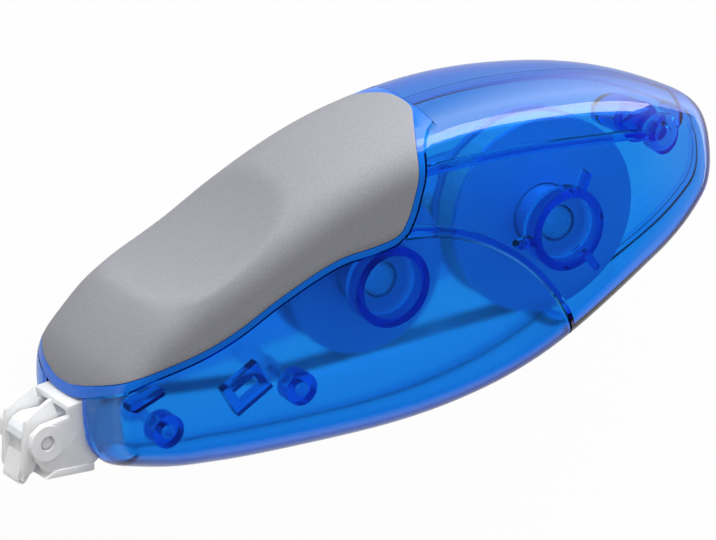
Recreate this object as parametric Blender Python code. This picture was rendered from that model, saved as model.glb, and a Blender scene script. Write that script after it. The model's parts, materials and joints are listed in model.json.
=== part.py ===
"""Correction tape dispenser: a hand-held case in four translucent shells with a soft grip on a carrier,
a supply reel and a take-up reel geared through an idler, and a rocking tip in a clear nose.

The drawing frame has x from the tip to the rear, y up to the grip and z to the left side, with z = 0 on the
parting plane. The whole dispenser lies on the flat of its right side.
"""
import math

import bmesh
import bpy
from mathutils import Vector
from mathutils.geometry import interpolate_bezier, intersect_point_line

MM = 0.001

# Tape and reels
TAPE_WIDTH = 4.2 * MM
TAPE_THICKNESS = 0.25 * MM
ROLL_RADIUS = 14.0 * MM
ROLL_CORE_RADIUS = 7.0 * MM
FLANGE_MARGIN = 0.6 * MM
FLANGE_THICKNESS = 0.8 * MM
FILM_DRUM_RADIUS = 10.4 * MM
FILM_WRAP_THICKNESS = 0.6 * MM
TAKEUP_FLANGE_MARGIN = 1.2 * MM
POST_RADIUS = 2.5 * MM
JOURNAL_RADIUS = 4.5 * MM
JOURNAL_LENGTH = 4.2 * MM
GUIDE_RADIUS = 1.5 * MM
GUIDE_PIN_RADIUS = 0.8 * MM

# Gears
MODULE = 0.6 * MM
SUPPLY_TEETH = 38
IDLER_TEETH = 16
TAKEUP_TEETH = 28
GEAR_WIDTH = 2.0 * MM
PRESSURE_ANGLE = math.radians(20)
TOOTH_SLACK = 0.16 * MM
IDLER_POST_RADIUS = 1.3 * MM
CLUTCH_RADIUS = 6.0 * MM
CLUTCH_SECTION = 1.6 * MM
CLUTCH_DEPTH = 0.8 * MM

# Case and inner plate
WALL = 1.6 * MM
PLATE_THICKNESS = 1.2 * MM
UNDER_PLATE_ROOM = 4.2 * MM
REEL_ROOM = 0.4 * MM
JOINT_BULGE = 6.0 * MM
REEL_PAD_RADIUS = 9.0 * MM
NOSE_PAD_RADIUS = 4.0 * MM
SHOULDER = 7.0 * MM
END_SHOULDER = 4.6 * MM
SHOULDER_POWER = 2.6
REAR_TAPER = 7.8 * MM
RIB_WIDTH = 2.0 * MM
RIB_DEPTH = 2.6 * MM
BOSS_WALL = 1.5 * MM

# Grip
PAD_THICKNESS = 1.3 * MM
CARRIER_WALL = 1.4 * MM
RIM_WIDTH = 1.3 * MM
SCOOP_RADIUS = 36.0 * MM
SCOOP_CROWN = 160.0 * MM
SCOOP_EDGE = 0.5 * MM

# Nose and tip
CHEEK_THICKNESS = 0.8 * MM
FORK_THICKNESS = 1.3 * MM
PIN_RADIUS = 0.9 * MM
HUB_RADIUS = 2.2 * MM
WINDOW_ROOM = 1.4 * MM
SKID_THICKNESS = 1.1 * MM
SKID_BEVEL = 1.6 * MM
SKID_ROOT = 0.25 * MM
SKID_LEAD = 0.2 * MM
BLADE_EDGE = 0.5 * MM
BLADE_ROOT = 2.0 * MM

# Clearances
SEAM_GAP = 0.3 * MM
LAYER_GAP = 0.4 * MM
TAPE_SIDE_GAP = 0.3 * MM
RUNNING_GAP = 0.25 * MM

# Layers across the thickness, counted from the parting plane
TAPE_HALF = TAPE_WIDTH / 2
FLANGE_INNER = TAPE_HALF + TAPE_SIDE_GAP
FLANGE_OUTER = FLANGE_INNER + FLANGE_THICKNESS
GEAR_TOP = -(FLANGE_OUTER + LAYER_GAP)
GEAR_BASE = GEAR_TOP - GEAR_WIDTH
PLATE_TOP = GEAR_BASE - LAYER_GAP
PLATE_BASE = PLATE_TOP - PLATE_THICKNESS
HALF_THICKNESS = -PLATE_BASE + UNDER_PLATE_ROOM + WALL
INNER_HALF = HALF_THICKNESS - WALL
CAP_BASE = FLANGE_INNER + SEAM_GAP
CAP_TOP = CAP_BASE + FLANGE_THICKNESS
JOURNAL_TOP = CAP_TOP + JOURNAL_LENGTH
BOSS_END = CAP_TOP + LAYER_GAP

# Reel sizes that follow from the tape
FLANGE_RADIUS = ROLL_RADIUS + FLANGE_MARGIN
WRAP_RADIUS = FILM_DRUM_RADIUS + SEAM_GAP + FILM_WRAP_THICKNESS
TAKEUP_FLANGE_RADIUS = WRAP_RADIUS + TAKEUP_FLANGE_MARGIN

# The case plan is drawn in millimetres, and grows so that the reel and the wall fit inside its nearest side
CASE_OUTLINE = [(-55.1, -2.3), (-51.6, -8.7), (-23.4, -16.8), (6.7, -19.9), (32.4, -14.0), (49.3, -6.7),
                (52.9, 1.6), (50.4, 9.0), (30.4, 20.3), (1.6, 25.1), (-26.1, 19.7), (-50.5, 9.3)]
SUPPLY_SPOT = Vector((23.5, 1.0, 0))
DRAWN_CORNERS = [Vector((x, y, 0)) for x, y in CASE_OUTLINE]
DRAWN_SIDES = zip(DRAWN_CORNERS, DRAWN_CORNERS[1:] + DRAWN_CORNERS[:1])
NEAREST_SIDE = min((intersect_point_line(SUPPLY_SPOT, start, end)[0] - SUPPLY_SPOT).length
                   for start, end in DRAWN_SIDES)
PLAN = (FLANGE_RADIUS + REEL_ROOM + WALL) / NEAREST_SIDE
HANDLE_REACH = 0.36
SPAN_STEPS = 4
TAPER_START = 15.0
TAPER_END = 53.0
SHOULDER_CENTRE = -1.0
SHOULDER_FLAT = 38.0
SHOULDER_RUN = 14.0
SHOULDER_ANGLES = [0, 14, 30, 48, 68, 90]
JOINT_FOOT = (21.3, -17.6)
JOINT_STEPS = 8
GRIP_LOW = [(-53.2, 5.3), (-50.8, 6.7), (-46.5, 6.6), (-38.0, 6.7), (-31.5, 7.7), (-23.6, 10.0), (-14.1, 11.9),
            (-3.0, 12.1)]
GRIP_FRONT_Y = 4.3
VISOR_Y = 2.4
GRIP_REAR_X = 7.0
SCOOP_LOW = (-41.0, 14.3)

# Axes and places in the plan
SUPPLY_AXIS = SUPPLY_SPOT.xy * PLAN
TRAIN_ANGLE = math.radians(174.5)
FRONT_GUIDE = Vector((-44.7, -3.5)) * PLAN
MIDDLE_GUIDE = Vector((-22.9, -5.6)) * PLAN
REAR_BOSS = Vector((43.0, 7.0)) * PLAN
BLOCK_RIB = Vector((-30.7, -2.6)) * PLAN
CORNER_RIB = Vector((-48.4, 1.4)) * PLAN
LONG_RIB = [(5.5, 15.8), (22.8, 14.0), (38.2, 9.4)]
SHORT_RIB_ANGLES = (54, 174, 294)
PLATE_FEET = [(5.0, 9.0), (6.0, -3.5), (-33.0, -2.0)]
TIP_PIVOT = Vector((-60.3, -1.5)) * PLAN
TIP_EDGE = Vector((-64.1, -6.9)) * PLAN
WINDOW_X = -50.5 * PLAN
REAR_BOSS_RADIUS = 3.3 * MM
REAR_PIN_RADIUS = 1.3 * MM

# Gear train along one line from the supply axis
SUPPLY_PITCH = MODULE * SUPPLY_TEETH / 2
IDLER_PITCH = MODULE * IDLER_TEETH / 2
TAKEUP_PITCH = MODULE * TAKEUP_TEETH / 2
TRAIN = Vector((math.cos(TRAIN_ANGLE), math.sin(TRAIN_ANGLE)))
IDLER_AXIS = SUPPLY_AXIS + TRAIN * (SUPPLY_PITCH + IDLER_PITCH)
TAKEUP_AXIS = IDLER_AXIS + TRAIN * (IDLER_PITCH + TAKEUP_PITCH)

ROUND_STEPS = 40
SMALL_STEPS = 16
FAR = 90 * PLAN

BLUE = (0.03, 0.22, 0.75)
GREY = (0.30, 0.31, 0.33)
CLEAR = (0.86, 0.88, 0.92)
WHITE = (0.88, 0.88, 0.87)
PALE = (0.70, 0.76, 0.82)
DARK = (0.05, 0.05, 0.06)


def clear_scene():
    for old in list(bpy.data.objects):
        bpy.data.objects.remove(old)


def finish(name, colour, roughness, metallic=0.0):
    material = bpy.data.materials.new(name)
    material.use_nodes = True
    shader = material.node_tree.nodes["Principled BSDF"]
    shader.inputs["Base Color"].default_value = (*colour, 1)
    shader.inputs["Roughness"].default_value = roughness
    shader.inputs["Metallic"].default_value = metallic
    return material


def add_object(name, bm, parent, colour, roughness=0.4, place=(0, 0), metallic=0.0):
    """Link a closed bmesh as an object under its parent, with its own material."""
    bm.normal_update()
    bmesh.ops.recalc_face_normals(bm, faces=bm.faces[:])
    mesh = bpy.data.meshes.new(name)
    bm.to_mesh(mesh)
    bm.free()
    mesh.shade_smooth()
    mesh.set_sharp_from_angle(angle=math.radians(35))
    thing = bpy.data.objects.new(name, mesh)
    bpy.context.collection.objects.link(thing)
    thing.data.materials.append(finish(name, colour, roughness, metallic))
    thing.parent = parent
    thing.location = (place[0], place[1], 0)
    return thing


def add_tool(name, bm, parent, place=(0, 0)):
    """A cutter or a part of a union, which is no piece of its own."""
    tool = add_object(name, bm, parent, GREY, place=place)
    tool.hide_render = True
    tool.display_type = "WIRE"
    return tool


def combine(thing, operation, tool):
    modifier = thing.modifiers.new(tool.name, "BOOLEAN")
    modifier.operation = operation
    modifier.object = tool
    modifier.solver = "EXACT"


def ring_of(bm, points):
    """A closed loop of edges through the points."""
    verts = [bm.verts.new(p) for p in points]
    return [bm.edges.new((a, b)) for a, b in zip(verts, verts[1:] + verts[:1])]


def prism(bm, corners, low, high):
    """An outline in the plan, extruded across the thickness."""
    base = bm.faces.new([bm.verts.new((x, y, low)) for x, y in corners])
    grown = bmesh.ops.extrude_face_region(bm, geom=[base])["geom"]
    lifted = [g for g in grown if isinstance(g, bmesh.types.BMVert)]
    bmesh.ops.translate(bm, verts=lifted, vec=(0, 0, high - low))


def rod(bm, centre, radius, low, high, steps=SMALL_STEPS):
    turned(bm, [(0, low), (radius, low), (radius, high), (0, high)], centre, steps)


def turned(bm, profile, centre=(0, 0), steps=ROUND_STEPS):
    """Spin a closed profile of (radius, height) about the z axis at the centre."""
    axis = Vector((centre[0], centre[1], 0))
    points = [axis + Vector((r, 0, z)) for r, z in profile]
    edges = ring_of(bm, points)
    on_axis = [e for e in edges if all((v.co - axis).xy.length == 0 for v in e.verts)]
    edges = [e for e in edges if e not in on_axis]
    for edge in on_axis:
        bm.edges.remove(edge)
    around = list({v for e in edges for v in e.verts})
    made = bmesh.ops.spin(bm, geom=around + edges, cent=axis, axis=(0, 0, 1), angle=math.tau, steps=steps,
                          use_merge=True)
    bmesh.ops.remove_doubles(bm, verts=bm.verts[:], dist=1e-6)
    return made


def circle_points(centre, radius, steps, start=0.0):
    return [(centre[0] + radius * math.cos(start + math.tau * i / steps),
             centre[1] + radius * math.sin(start + math.tau * i / steps)) for i in range(steps)]


def bar_corners(start, end, width):
    """Corners of a straight bar between two plan points."""
    along = (end - start).normalized() * width / 2
    across = Vector((-along.y, along.x))
    return [start - along - across, end + along - across, end + along + across, start - along + across]


def smooth_path(points, steps, closed=False):
    """A smooth curve through plan points, each span a Bezier with handles along its neighbours."""
    count = len(points)

    def direction(i):
        before = points[(i - 1) % count] if closed else points[max(i - 1, 0)]
        after = points[(i + 1) % count] if closed else points[min(i + 1, count - 1)]
        return (after - before).normalized()

    path = []
    for i in range(count if closed else count - 1):
        start = points[i]
        end = points[(i + 1) % count]
        reach = (end - start).length * HANDLE_REACH
        handle_a = start + direction(i) * reach
        handle_b = end - direction((i + 1) % count) * reach
        span = interpolate_bezier(start.to_3d(), handle_a.to_3d(), handle_b.to_3d(), end.to_3d(), steps + 1)
        path += [p.to_2d() for p in span[:-1]]
    return path if closed else path + [points[-1].copy()]


def outward(points, i):
    """Outward normal of a loop that runs anticlockwise."""
    run = points[(i + 1) % len(points)] - points[i - 1]
    return Vector((run.y, -run.x)).normalized()


def half_thickness(x):
    """Half the case's thickness, which tapers to the rear."""
    run = (x / PLAN - TAPER_START) / (TAPER_END - TAPER_START)
    return HALF_THICKNESS - REAR_TAPER * max(run, 0) ** 2


def shoulder(x):
    """Width of the rounding between the case's side and its edge, less at both ends."""
    run = (abs(x / PLAN - SHOULDER_CENTRE) - SHOULDER_FLAT) / SHOULDER_RUN
    return SHOULDER - (SHOULDER - END_SHOULDER) * min(max(run, 0), 1)


def profile_step(angle):
    """Share of the shoulder's width and of the thickness at an angle of the rounded section."""
    power = 2 / SHOULDER_POWER
    sweep = math.radians(angle)
    return 1 - max(math.cos(sweep), 0) ** power, math.sin(sweep) ** power


OUTLINE = smooth_path([Vector(p) * PLAN for p in CASE_OUTLINE], SPAN_STEPS, closed=True)
FINE_OUTLINE = smooth_path([Vector(p) * PLAN for p in CASE_OUTLINE], 4 * SPAN_STEPS, closed=True)
LOW_EDGE = smooth_path([Vector(p) * PLAN for p in GRIP_LOW], 3)


def body_half(bm, inset, base):
    """Rounded half of the case form above the parting plane: its rings of vertices, base ring first.

    The rings step in from the outline to the flat side, which is closed by strips across the plan.
    """
    count = len(OUTLINE)
    rings = []
    for angle in SHOULDER_ANGLES:
        inward, rise = profile_step(angle)
        ring = []
        for i, point in enumerate(OUTLINE):
            depth = inset + (shoulder(point.x) - inset) * inward
            spot = point - outward(OUTLINE, i) * depth
            top = half_thickness(spot.x) - inset
            ring.append(bm.verts.new((spot.x, spot.y, base + (top - base) * rise)))
        rings.append(ring)
    for low, high in zip(rings, rings[1:]):
        for i in range(count):
            k = (i + 1) % count
            bm.faces.new((low[i], low[k], high[k], high[i]))
    side = rings[-1]
    for i in range(count // 2):
        corners = [side[i], side[i + 1], side[-i - 1], side[-i]]
        bm.faces.new(list(dict.fromkeys(corners)))
    bmesh.ops.triangulate(bm, faces=bm.faces[:])
    return rings


def mirror_to_right(bm):
    for vert in bm.verts:
        vert.co.z = -vert.co.z


def half_shell(side):
    """One half of the hollow case, parted on the mid-plane."""
    bm = bmesh.new()
    outer = body_half(bm, 0, SEAM_GAP / 2)[0]
    inner = body_half(bm, WALL, SEAM_GAP / 2)[0]
    count = len(outer)
    for i in range(count):
        k = (i + 1) % count
        bm.faces.new((outer[i], outer[k], inner[k], inner[i]))
    if side < 0:
        mirror_to_right(bm)
    return bm


def rib_envelope(side):
    """Solid that ends ribs and bosses half-way through the wall."""
    bm = bmesh.new()
    ring = body_half(bm, WALL / 2, -SEAM_GAP)[0]
    bm.faces.new(ring)
    if side < 0:
        mirror_to_right(bm)
    return bm


def joint_arc(top, shift):
    """The joint between front and rear shells: an arc from the grip's corner to the underside.

    A shift moves it outwards.
    """
    foot = Vector(JOINT_FOOT) * PLAN
    half = (foot - top) / 2
    radius = (half.length_squared + JOINT_BULGE ** 2) / (2 * JOINT_BULGE)
    centre = (top + foot) / 2 + Vector((half.y, -half.x)).normalized() * (radius - JOINT_BULGE)
    turn = (top - centre).angle_signed(foot - centre)
    first = math.atan2(top.y - centre.y, top.x - centre.x)
    angles = [first - turn * i / (JOINT_STEPS - 1) for i in range(JOINT_STEPS)]
    return [centre + Vector((math.cos(a), math.sin(a))) * (radius + shift) for a in angles]


def grip_row(share):
    """A section line of the grip, as its top point on the outline and its low point.

    Shares run from the front to the rear.
    """
    crown = FINE_OUTLINE[len(FINE_OUTLINE) // 2:] + FINE_OUTLINE[:1]
    crown.reverse()
    first = next(i for i, p in enumerate(crown) if p.y > GRIP_FRONT_Y * PLAN)
    last = next(i for i, p in enumerate(crown) if p.x > GRIP_REAR_X * PLAN)
    return (along(crown[first:last + 1], share ** 0.9), along(LOW_EDGE, share))


def along(path, share):
    """Point at a share of a path's steps."""
    spot = share * (len(path) - 1)
    i = min(int(spot), len(path) - 2)
    return path[i].lerp(path[i + 1], spot - i)


def grip_rows(start=0.0):
    count = len(LOW_EDGE)
    return [grip_row(start + (1 - start) * i / (count - 1)) for i in range(count)]


def inside_depth(spot):
    """Distance from a plan point in to the nearest edge of the case, negative outside."""
    best = None
    for i, a in enumerate(FINE_OUTLINE):
        b = FINE_OUTLINE[(i + 1) % len(FINE_OUTLINE)]
        run = b - a
        share = min(max((spot - a).dot(run) / run.length_squared, 0), 1)
        away = spot - a - run * share
        if best is None or away.length < abs(best):
            best = away.length if away.cross(run) <= 0 or away.length == 0 else -away.length
    return best


def body_height(spot, inset):
    """Height of the case's left surface over a plan point, for the form shrunk by an inset."""
    depth = inside_depth(spot) - inset
    width = shoulder(spot.x) - inset
    top = half_thickness(spot.x) - inset
    if depth <= 0:
        return 0.0
    fall = max(1 - depth / width, 0)
    return top * (1 - fall ** SHOULDER_POWER) ** (1 / SHOULDER_POWER)


def scooped(x, y, z, inset):
    """Lower a point of the grip's top to the finger scoop, with a rounded edge where they meet."""
    low = Vector(SCOOP_LOW) * PLAN
    floor = low.y + (x - low.x) ** 2 / (2 * SCOOP_RADIUS) - z * z / (2 * SCOOP_CROWN) - inset
    if x < low.x - 2 * SCOOP_EDGE:
        return y
    mix = max(SCOOP_EDGE - abs(y - floor), 0) / SCOOP_EDGE
    return min(y, floor) - mix * mix * SCOOP_EDGE / 4


COLUMN_STEP = 0.03 * MM
FRONT_BLEND = 6.0 * MM
SADDLE_START = 0.16
GRIP_STEPS = [0, 0.006, 0.03, 0.09, 0.18, 0.32, 0.52, 0.76, 1.0]


def low_edge(x):
    """Height of the grip's lower edge at a place along the case."""
    for a, b in zip(LOW_EDGE, LOW_EDGE[1:]):
        if x <= b.x:
            return a.y + (b.y - a.y) * (x - a.x) / (b.x - a.x)
    return LOW_EDGE[-1].y


def grip_spot(row, step, inset):
    """Plan point on a grip section line for the form shrunk by an inset.

    At the front the whole line moves in.
    """
    top, low = row
    normal = nearest_normal(top)
    run = (low - top).normalized()
    sunk = top - run * (inset / normal.dot(run))
    front = min(max(1 - (low.x - GRIP_LOW[0][0] * PLAN) / FRONT_BLEND, 0), 1)
    if front and inset:
        inward = Vector((inset / normal.x, 0))
        sunk = sunk.lerp(top - inward, front)
        low = low - inward * front
        for spot in (sunk, low):
            spot.y = max(spot.y, low_edge(spot.x))
    return sunk.lerp(low, step)


def nearest_normal(spot):
    i = min(range(len(FINE_OUTLINE)), key=lambda k: (FINE_OUTLINE[k] - spot).length)
    return outward(FINE_OUTLINE, i)


def grip_point(spot, inset, side, column):
    """Point on the grip's surface over a plan point; columns count down from the crown on the parting."""
    z = side * max(body_height(spot, inset), column * COLUMN_STEP) if column else 0
    return Vector((spot.x, scooped(spot.x, spot.y, z, inset), z))


def section(spots_and_insets):
    """One section over the grip from its left to its right edge, from plan points that start at the top."""
    left = [grip_point(*spot, 1, column) for column, spot in enumerate(spots_and_insets)]
    right = [grip_point(*spot, -1, column) for column, spot in enumerate(spots_and_insets)]
    return left[::-1] + right[1:]


def skin(bm, outer, inner):
    """A closed sheet between two grids of points with the same rows and columns."""
    grids = [[[bm.verts.new(p) for p in row] for row in grid] for grid in (outer, inner)]
    rows = len(outer)
    columns = len(outer[0])
    for grid in grids:
        for a, b in zip(grid, grid[1:]):
            for i in range(columns - 1):
                bm.faces.new((a[i], a[i + 1], b[i + 1], b[i]))
    front, back = grids
    for r in (0, rows - 1):
        for i in range(columns - 1):
            bm.faces.new((front[r][i], front[r][i + 1], back[r][i + 1], back[r][i]))
    for c in (0, columns - 1):
        for r in range(rows - 1):
            bm.faces.new((front[r][c], front[r + 1][c], back[r + 1][c], back[r][c]))
    bmesh.ops.remove_doubles(bm, verts=bm.verts[:], dist=1e-7)


def build_grip_pad(frame):
    rows = grip_rows()
    outer = [section([(grip_spot(row, s, 0), 0) for s in GRIP_STEPS]) for row in rows]
    inner = [section([(grip_spot(row, s, PAD_THICKNESS), PAD_THICKNESS) for s in GRIP_STEPS]) for row in rows]
    bm = bmesh.new()
    skin(bm, outer, inner)
    return add_object("grip_pad", bm, frame, GREY, 0.75)


def rim_corners(low_side, high_side):
    """Plan line round the grip's lower and rear edge, at a distance from the pad, from front to top."""
    rows = grip_rows()
    visor = min((p for p in FINE_OUTLINE if p.x < rows[0][0].x + 2 * MM), key=lambda p: abs(p.y - low_side))
    line = [Vector((-FAR, visor.y)), visor + Vector((SEAM_GAP, 0))]
    line += [low - Vector((0, high_side)) for top, low in rows]
    top, low = rows[-1]
    rear = Vector((high_side, 0))
    line[-1] = low + Vector((high_side, -high_side))
    line.append(top + rear + (top - low).normalized() * FAR)
    return line


def full_body(inset):
    """The whole case form as one solid, shrunk by an inset."""
    bm = bmesh.new()
    body_half(bm, inset, 0)
    copy = bmesh.ops.duplicate(bm, geom=bm.verts[:] + bm.edges[:] + bm.faces[:])["geom"]
    for vert in copy:
        if isinstance(vert, bmesh.types.BMVert):
            vert.co.z = -vert.co.z
    bmesh.ops.remove_doubles(bm, verts=bm.verts[:], dist=1e-7)
    return bm


def build_grip_carrier(frame):
    """Saddle under the pad, with a rim that stands up to the case's surface and a visor at the front."""
    bed = PAD_THICKNESS + SEAM_GAP
    lining = bed + CARRIER_WALL
    rows = grip_rows(SADDLE_START)
    top, low = rows[-1]
    rear = Vector((RIM_WIDTH / 2, 0))
    rows.append((top + rear, low + rear))
    below = Vector((0, -RIM_WIDTH / 2))
    outer = []
    inner = []
    for grid, level in ((outer, bed), (inner, lining)):
        for row in rows:
            spots = [(grip_spot(row, s, level), level) for s in GRIP_STEPS]
            spots.append((row[1] + below, level))
            grid.append(section(spots))
    bm = bmesh.new()
    skin(bm, outer, inner)
    carrier = add_object("grip_carrier", bm, frame, BLUE, 0.2)
    bm = bmesh.new()
    outside = rim_corners(VISOR_Y * PLAN, RIM_WIDTH)
    inside = rim_corners(GRIP_FRONT_Y * PLAN - SEAM_GAP, SEAM_GAP)
    prism(bm, outside + inside[::-1], -2 * HALF_THICKNESS, 2 * HALF_THICKNESS)
    rim = add_tool("grip_carrier.rim", bm, frame)
    combine(rim, "INTERSECT", add_tool("grip_carrier.body", full_body(0), frame))
    combine(rim, "DIFFERENCE", add_tool("grip_carrier.hollow", full_body(bed + CARRIER_WALL / 2), frame))
    combine(carrier, "UNION", rim)


def zone_corners():
    """Plan outlines of the front and rear shells, parted by the joint and by the carrier's rim."""
    rim = rim_corners(VISOR_Y * PLAN - SEAM_GAP, RIM_WIDTH + SEAM_GAP)
    rear_top = rim.pop()
    corner = rim.pop()
    start = corner - Vector((SEAM_GAP, SEAM_GAP)) * 1.5
    joint = joint_arc(start, -SEAM_GAP / 2)
    foot = joint[-1]
    front_zone = rim + joint + [Vector((foot.x, -FAR)), Vector((-FAR, -FAR))]
    joint = joint_arc(start, SEAM_GAP / 2)
    foot = joint[-1]
    rear_zone = [rear_top, corner] + joint + [Vector((foot.x, -FAR)), Vector((FAR, -FAR)), Vector((FAR, FAR))]
    return front_zone, rear_zone


def boss(bm, centre, bore, end):
    """Round tube standing on the left shell's inner side."""
    outer = bore + BOSS_WALL
    turned(bm, [(outer, end), (outer, HALF_THICKNESS), (bore, HALF_THICKNESS), (bore, end)], centre,
           2 * SMALL_STEPS)


def wall_rib(bm, start, end, depth=RIB_DEPTH, width=RIB_WIDTH):
    prism(bm, bar_corners(Vector(start), Vector(end), width), INNER_HALF - depth, HALF_THICKNESS)


def curved_rib(bm, points, width, low):
    """A rib along a smooth line in the plan."""
    path = smooth_path([Vector(p) * PLAN for p in points], 5)
    sides = []
    for i, point in enumerate(path):
        run = path[min(i + 1, len(path) - 1)] - path[max(i - 1, 0)]
        sides.append((point, Vector((-run.y, run.x)).normalized() * width / 2))
    corners = [p + across for p, across in sides] + [p - across for p, across in reversed(sides)]
    prism(bm, corners, low, HALF_THICKNESS)


def shell(name, side, corners, frame, ribs):
    """Cut one shell out of a case half, with its ribs and bosses joined to it."""
    thing = add_object(name, half_shell(side), frame, BLUE, 0.12)
    bm = bmesh.new()
    prism(bm, corners, -2 * HALF_THICKNESS, 2 * HALF_THICKNESS)
    combine(thing, "INTERSECT", add_tool(name + ".zone", bm, frame))
    envelope = add_tool(name + ".envelope", rib_envelope(side), frame)
    for i, rib in enumerate(ribs):
        tool = add_tool(f"{name}.rib{i}", rib, frame)
        combine(tool, "INTERSECT", envelope)
        combine(thing, "UNION", tool)
    return thing


def cut_window(thing, frame):
    """Open the front of the case for the nose."""
    half = NOSE_HALF + WINDOW_ROOM
    bm = bmesh.new()
    prism(bm, [(-FAR, -FAR), (WINDOW_X, -FAR), (WINDOW_X, FAR), (-FAR, FAR)], -half, half)
    combine(thing, "DIFFERENCE", add_tool(thing.name + ".window", bm, frame))


def new_rib(maker, *values):
    bm = bmesh.new()
    maker(bm, *values)
    return bm


def left_front_ribs():
    ribs = [new_rib(boss, TAKEUP_AXIS, JOURNAL_RADIUS + RUNNING_GAP, BOSS_END)]
    for guide in (FRONT_GUIDE, MIDDLE_GUIDE):
        ribs.append(new_rib(boss, guide, GUIDE_PIN_RADIUS + RUNNING_GAP, FLANGE_INNER + SEAM_GAP))
    arm = Vector((2.6, 0.9)) * MM
    post = Vector((-0.9, 2.4)) * MM
    ribs.append(new_rib(wall_rib, BLOCK_RIB - arm - post, BLOCK_RIB + arm - post))
    ribs.append(new_rib(wall_rib, BLOCK_RIB - arm + post, BLOCK_RIB + arm + post))
    foot = CORNER_RIB + Vector((0.9, -3.4)) * MM
    ribs.append(new_rib(wall_rib, CORNER_RIB, foot, RIB_DEPTH, RIB_WIDTH * 0.7))
    return ribs


def left_rear_ribs():
    bore = JOURNAL_RADIUS + RUNNING_GAP
    ribs = [new_rib(boss, SUPPLY_AXIS, bore, BOSS_END)]
    for angle in SHORT_RIB_ANGLES:
        out = Vector((math.cos(math.radians(angle)), math.sin(math.radians(angle))))
        start = SUPPLY_AXIS + out * (bore + BOSS_WALL)
        ribs.append(new_rib(wall_rib, start, start + out * RIB_WIDTH, INNER_HALF - BOSS_END - SEAM_GAP))
    ribs.append(new_rib(curved_rib, LONG_RIB, RIB_WIDTH * 0.6, CAP_TOP + LAYER_GAP))
    tube = [(REAR_BOSS_RADIUS, SEAM_GAP / 2), (REAR_BOSS_RADIUS, HALF_THICKNESS),
            (REAR_PIN_RADIUS + RUNNING_GAP, HALF_THICKNESS), (REAR_PIN_RADIUS + RUNNING_GAP, SEAM_GAP / 2)]
    ribs.append(new_rib(turned, tube, REAR_BOSS, SMALL_STEPS + 4))
    return ribs


def build_shells(frame):
    front_zone, rear_zone = zone_corners()
    left_front = shell("left_front_shell", 1, front_zone, frame, left_front_ribs())
    right_front = shell("right_front_shell", -1, front_zone, frame, [])
    cut_window(left_front, frame)
    cut_window(right_front, frame)
    shell("left_rear_shell", 1, rear_zone, frame, left_rear_ribs())
    pillar = new_rib(rod, REAR_BOSS, REAR_BOSS_RADIUS, -HALF_THICKNESS, -SEAM_GAP / 2, SMALL_STEPS + 4)
    right_rear = shell("right_rear_shell", -1, rear_zone, frame, [pillar])
    pin_end = half_thickness(REAR_BOSS.x) - 2 * WALL - SEAM_GAP
    pin = new_rib(rod, REAR_BOSS, REAR_PIN_RADIUS, -WALL, pin_end, SMALL_STEPS)
    combine(right_rear, "UNION", add_tool("right_rear_shell.pin", pin, frame))


def involute_half_angle(radius, base_radius, half_at_base):
    ratio = max(radius / base_radius, 1.0)
    return half_at_base - (math.sqrt(ratio * ratio - 1) - math.acos(1 / ratio))


def gear_corners(teeth, start):
    """Outline of a spur gear with involute flanks, one tooth centred on the start angle."""
    pitch = MODULE * teeth / 2
    base = pitch * math.cos(PRESSURE_ANGLE)
    tip = pitch + 0.9 * MODULE
    root = pitch - 1.2 * MODULE
    thick = (math.pi * MODULE / 2 - TOOTH_SLACK) / pitch
    half_at_base = thick / 2 + math.tan(PRESSURE_ANGLE) - PRESSURE_ANGLE
    radii = [root, max(base, root + 0.2 * MODULE), pitch, tip]
    halves = [involute_half_angle(r, base, half_at_base) for r in radii]
    corners = []
    for i in range(teeth):
        middle = start + math.tau * i / teeth
        flank = list(zip(radii, halves))
        for r, half in flank:
            corners.append((r * math.cos(middle - half), r * math.sin(middle - half)))
        for r, half in reversed(flank):
            corners.append((r * math.cos(middle + half), r * math.sin(middle + half)))
    return corners


def build_gear(name, teeth, start, bore, frame, axis, colour):
    bm = bmesh.new()
    prism(bm, gear_corners(teeth, start), GEAR_BASE, GEAR_TOP)
    gear = add_object(name, bm, frame, colour, 0.4, axis)
    bm = bmesh.new()
    rod(bm, (0, 0), bore, GEAR_BASE - LAYER_GAP, GEAR_TOP + LAYER_GAP, 2 * SMALL_STEPS)
    combine(gear, "DIFFERENCE", add_tool(name + ".bore", bm, frame, axis))
    return gear


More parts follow.
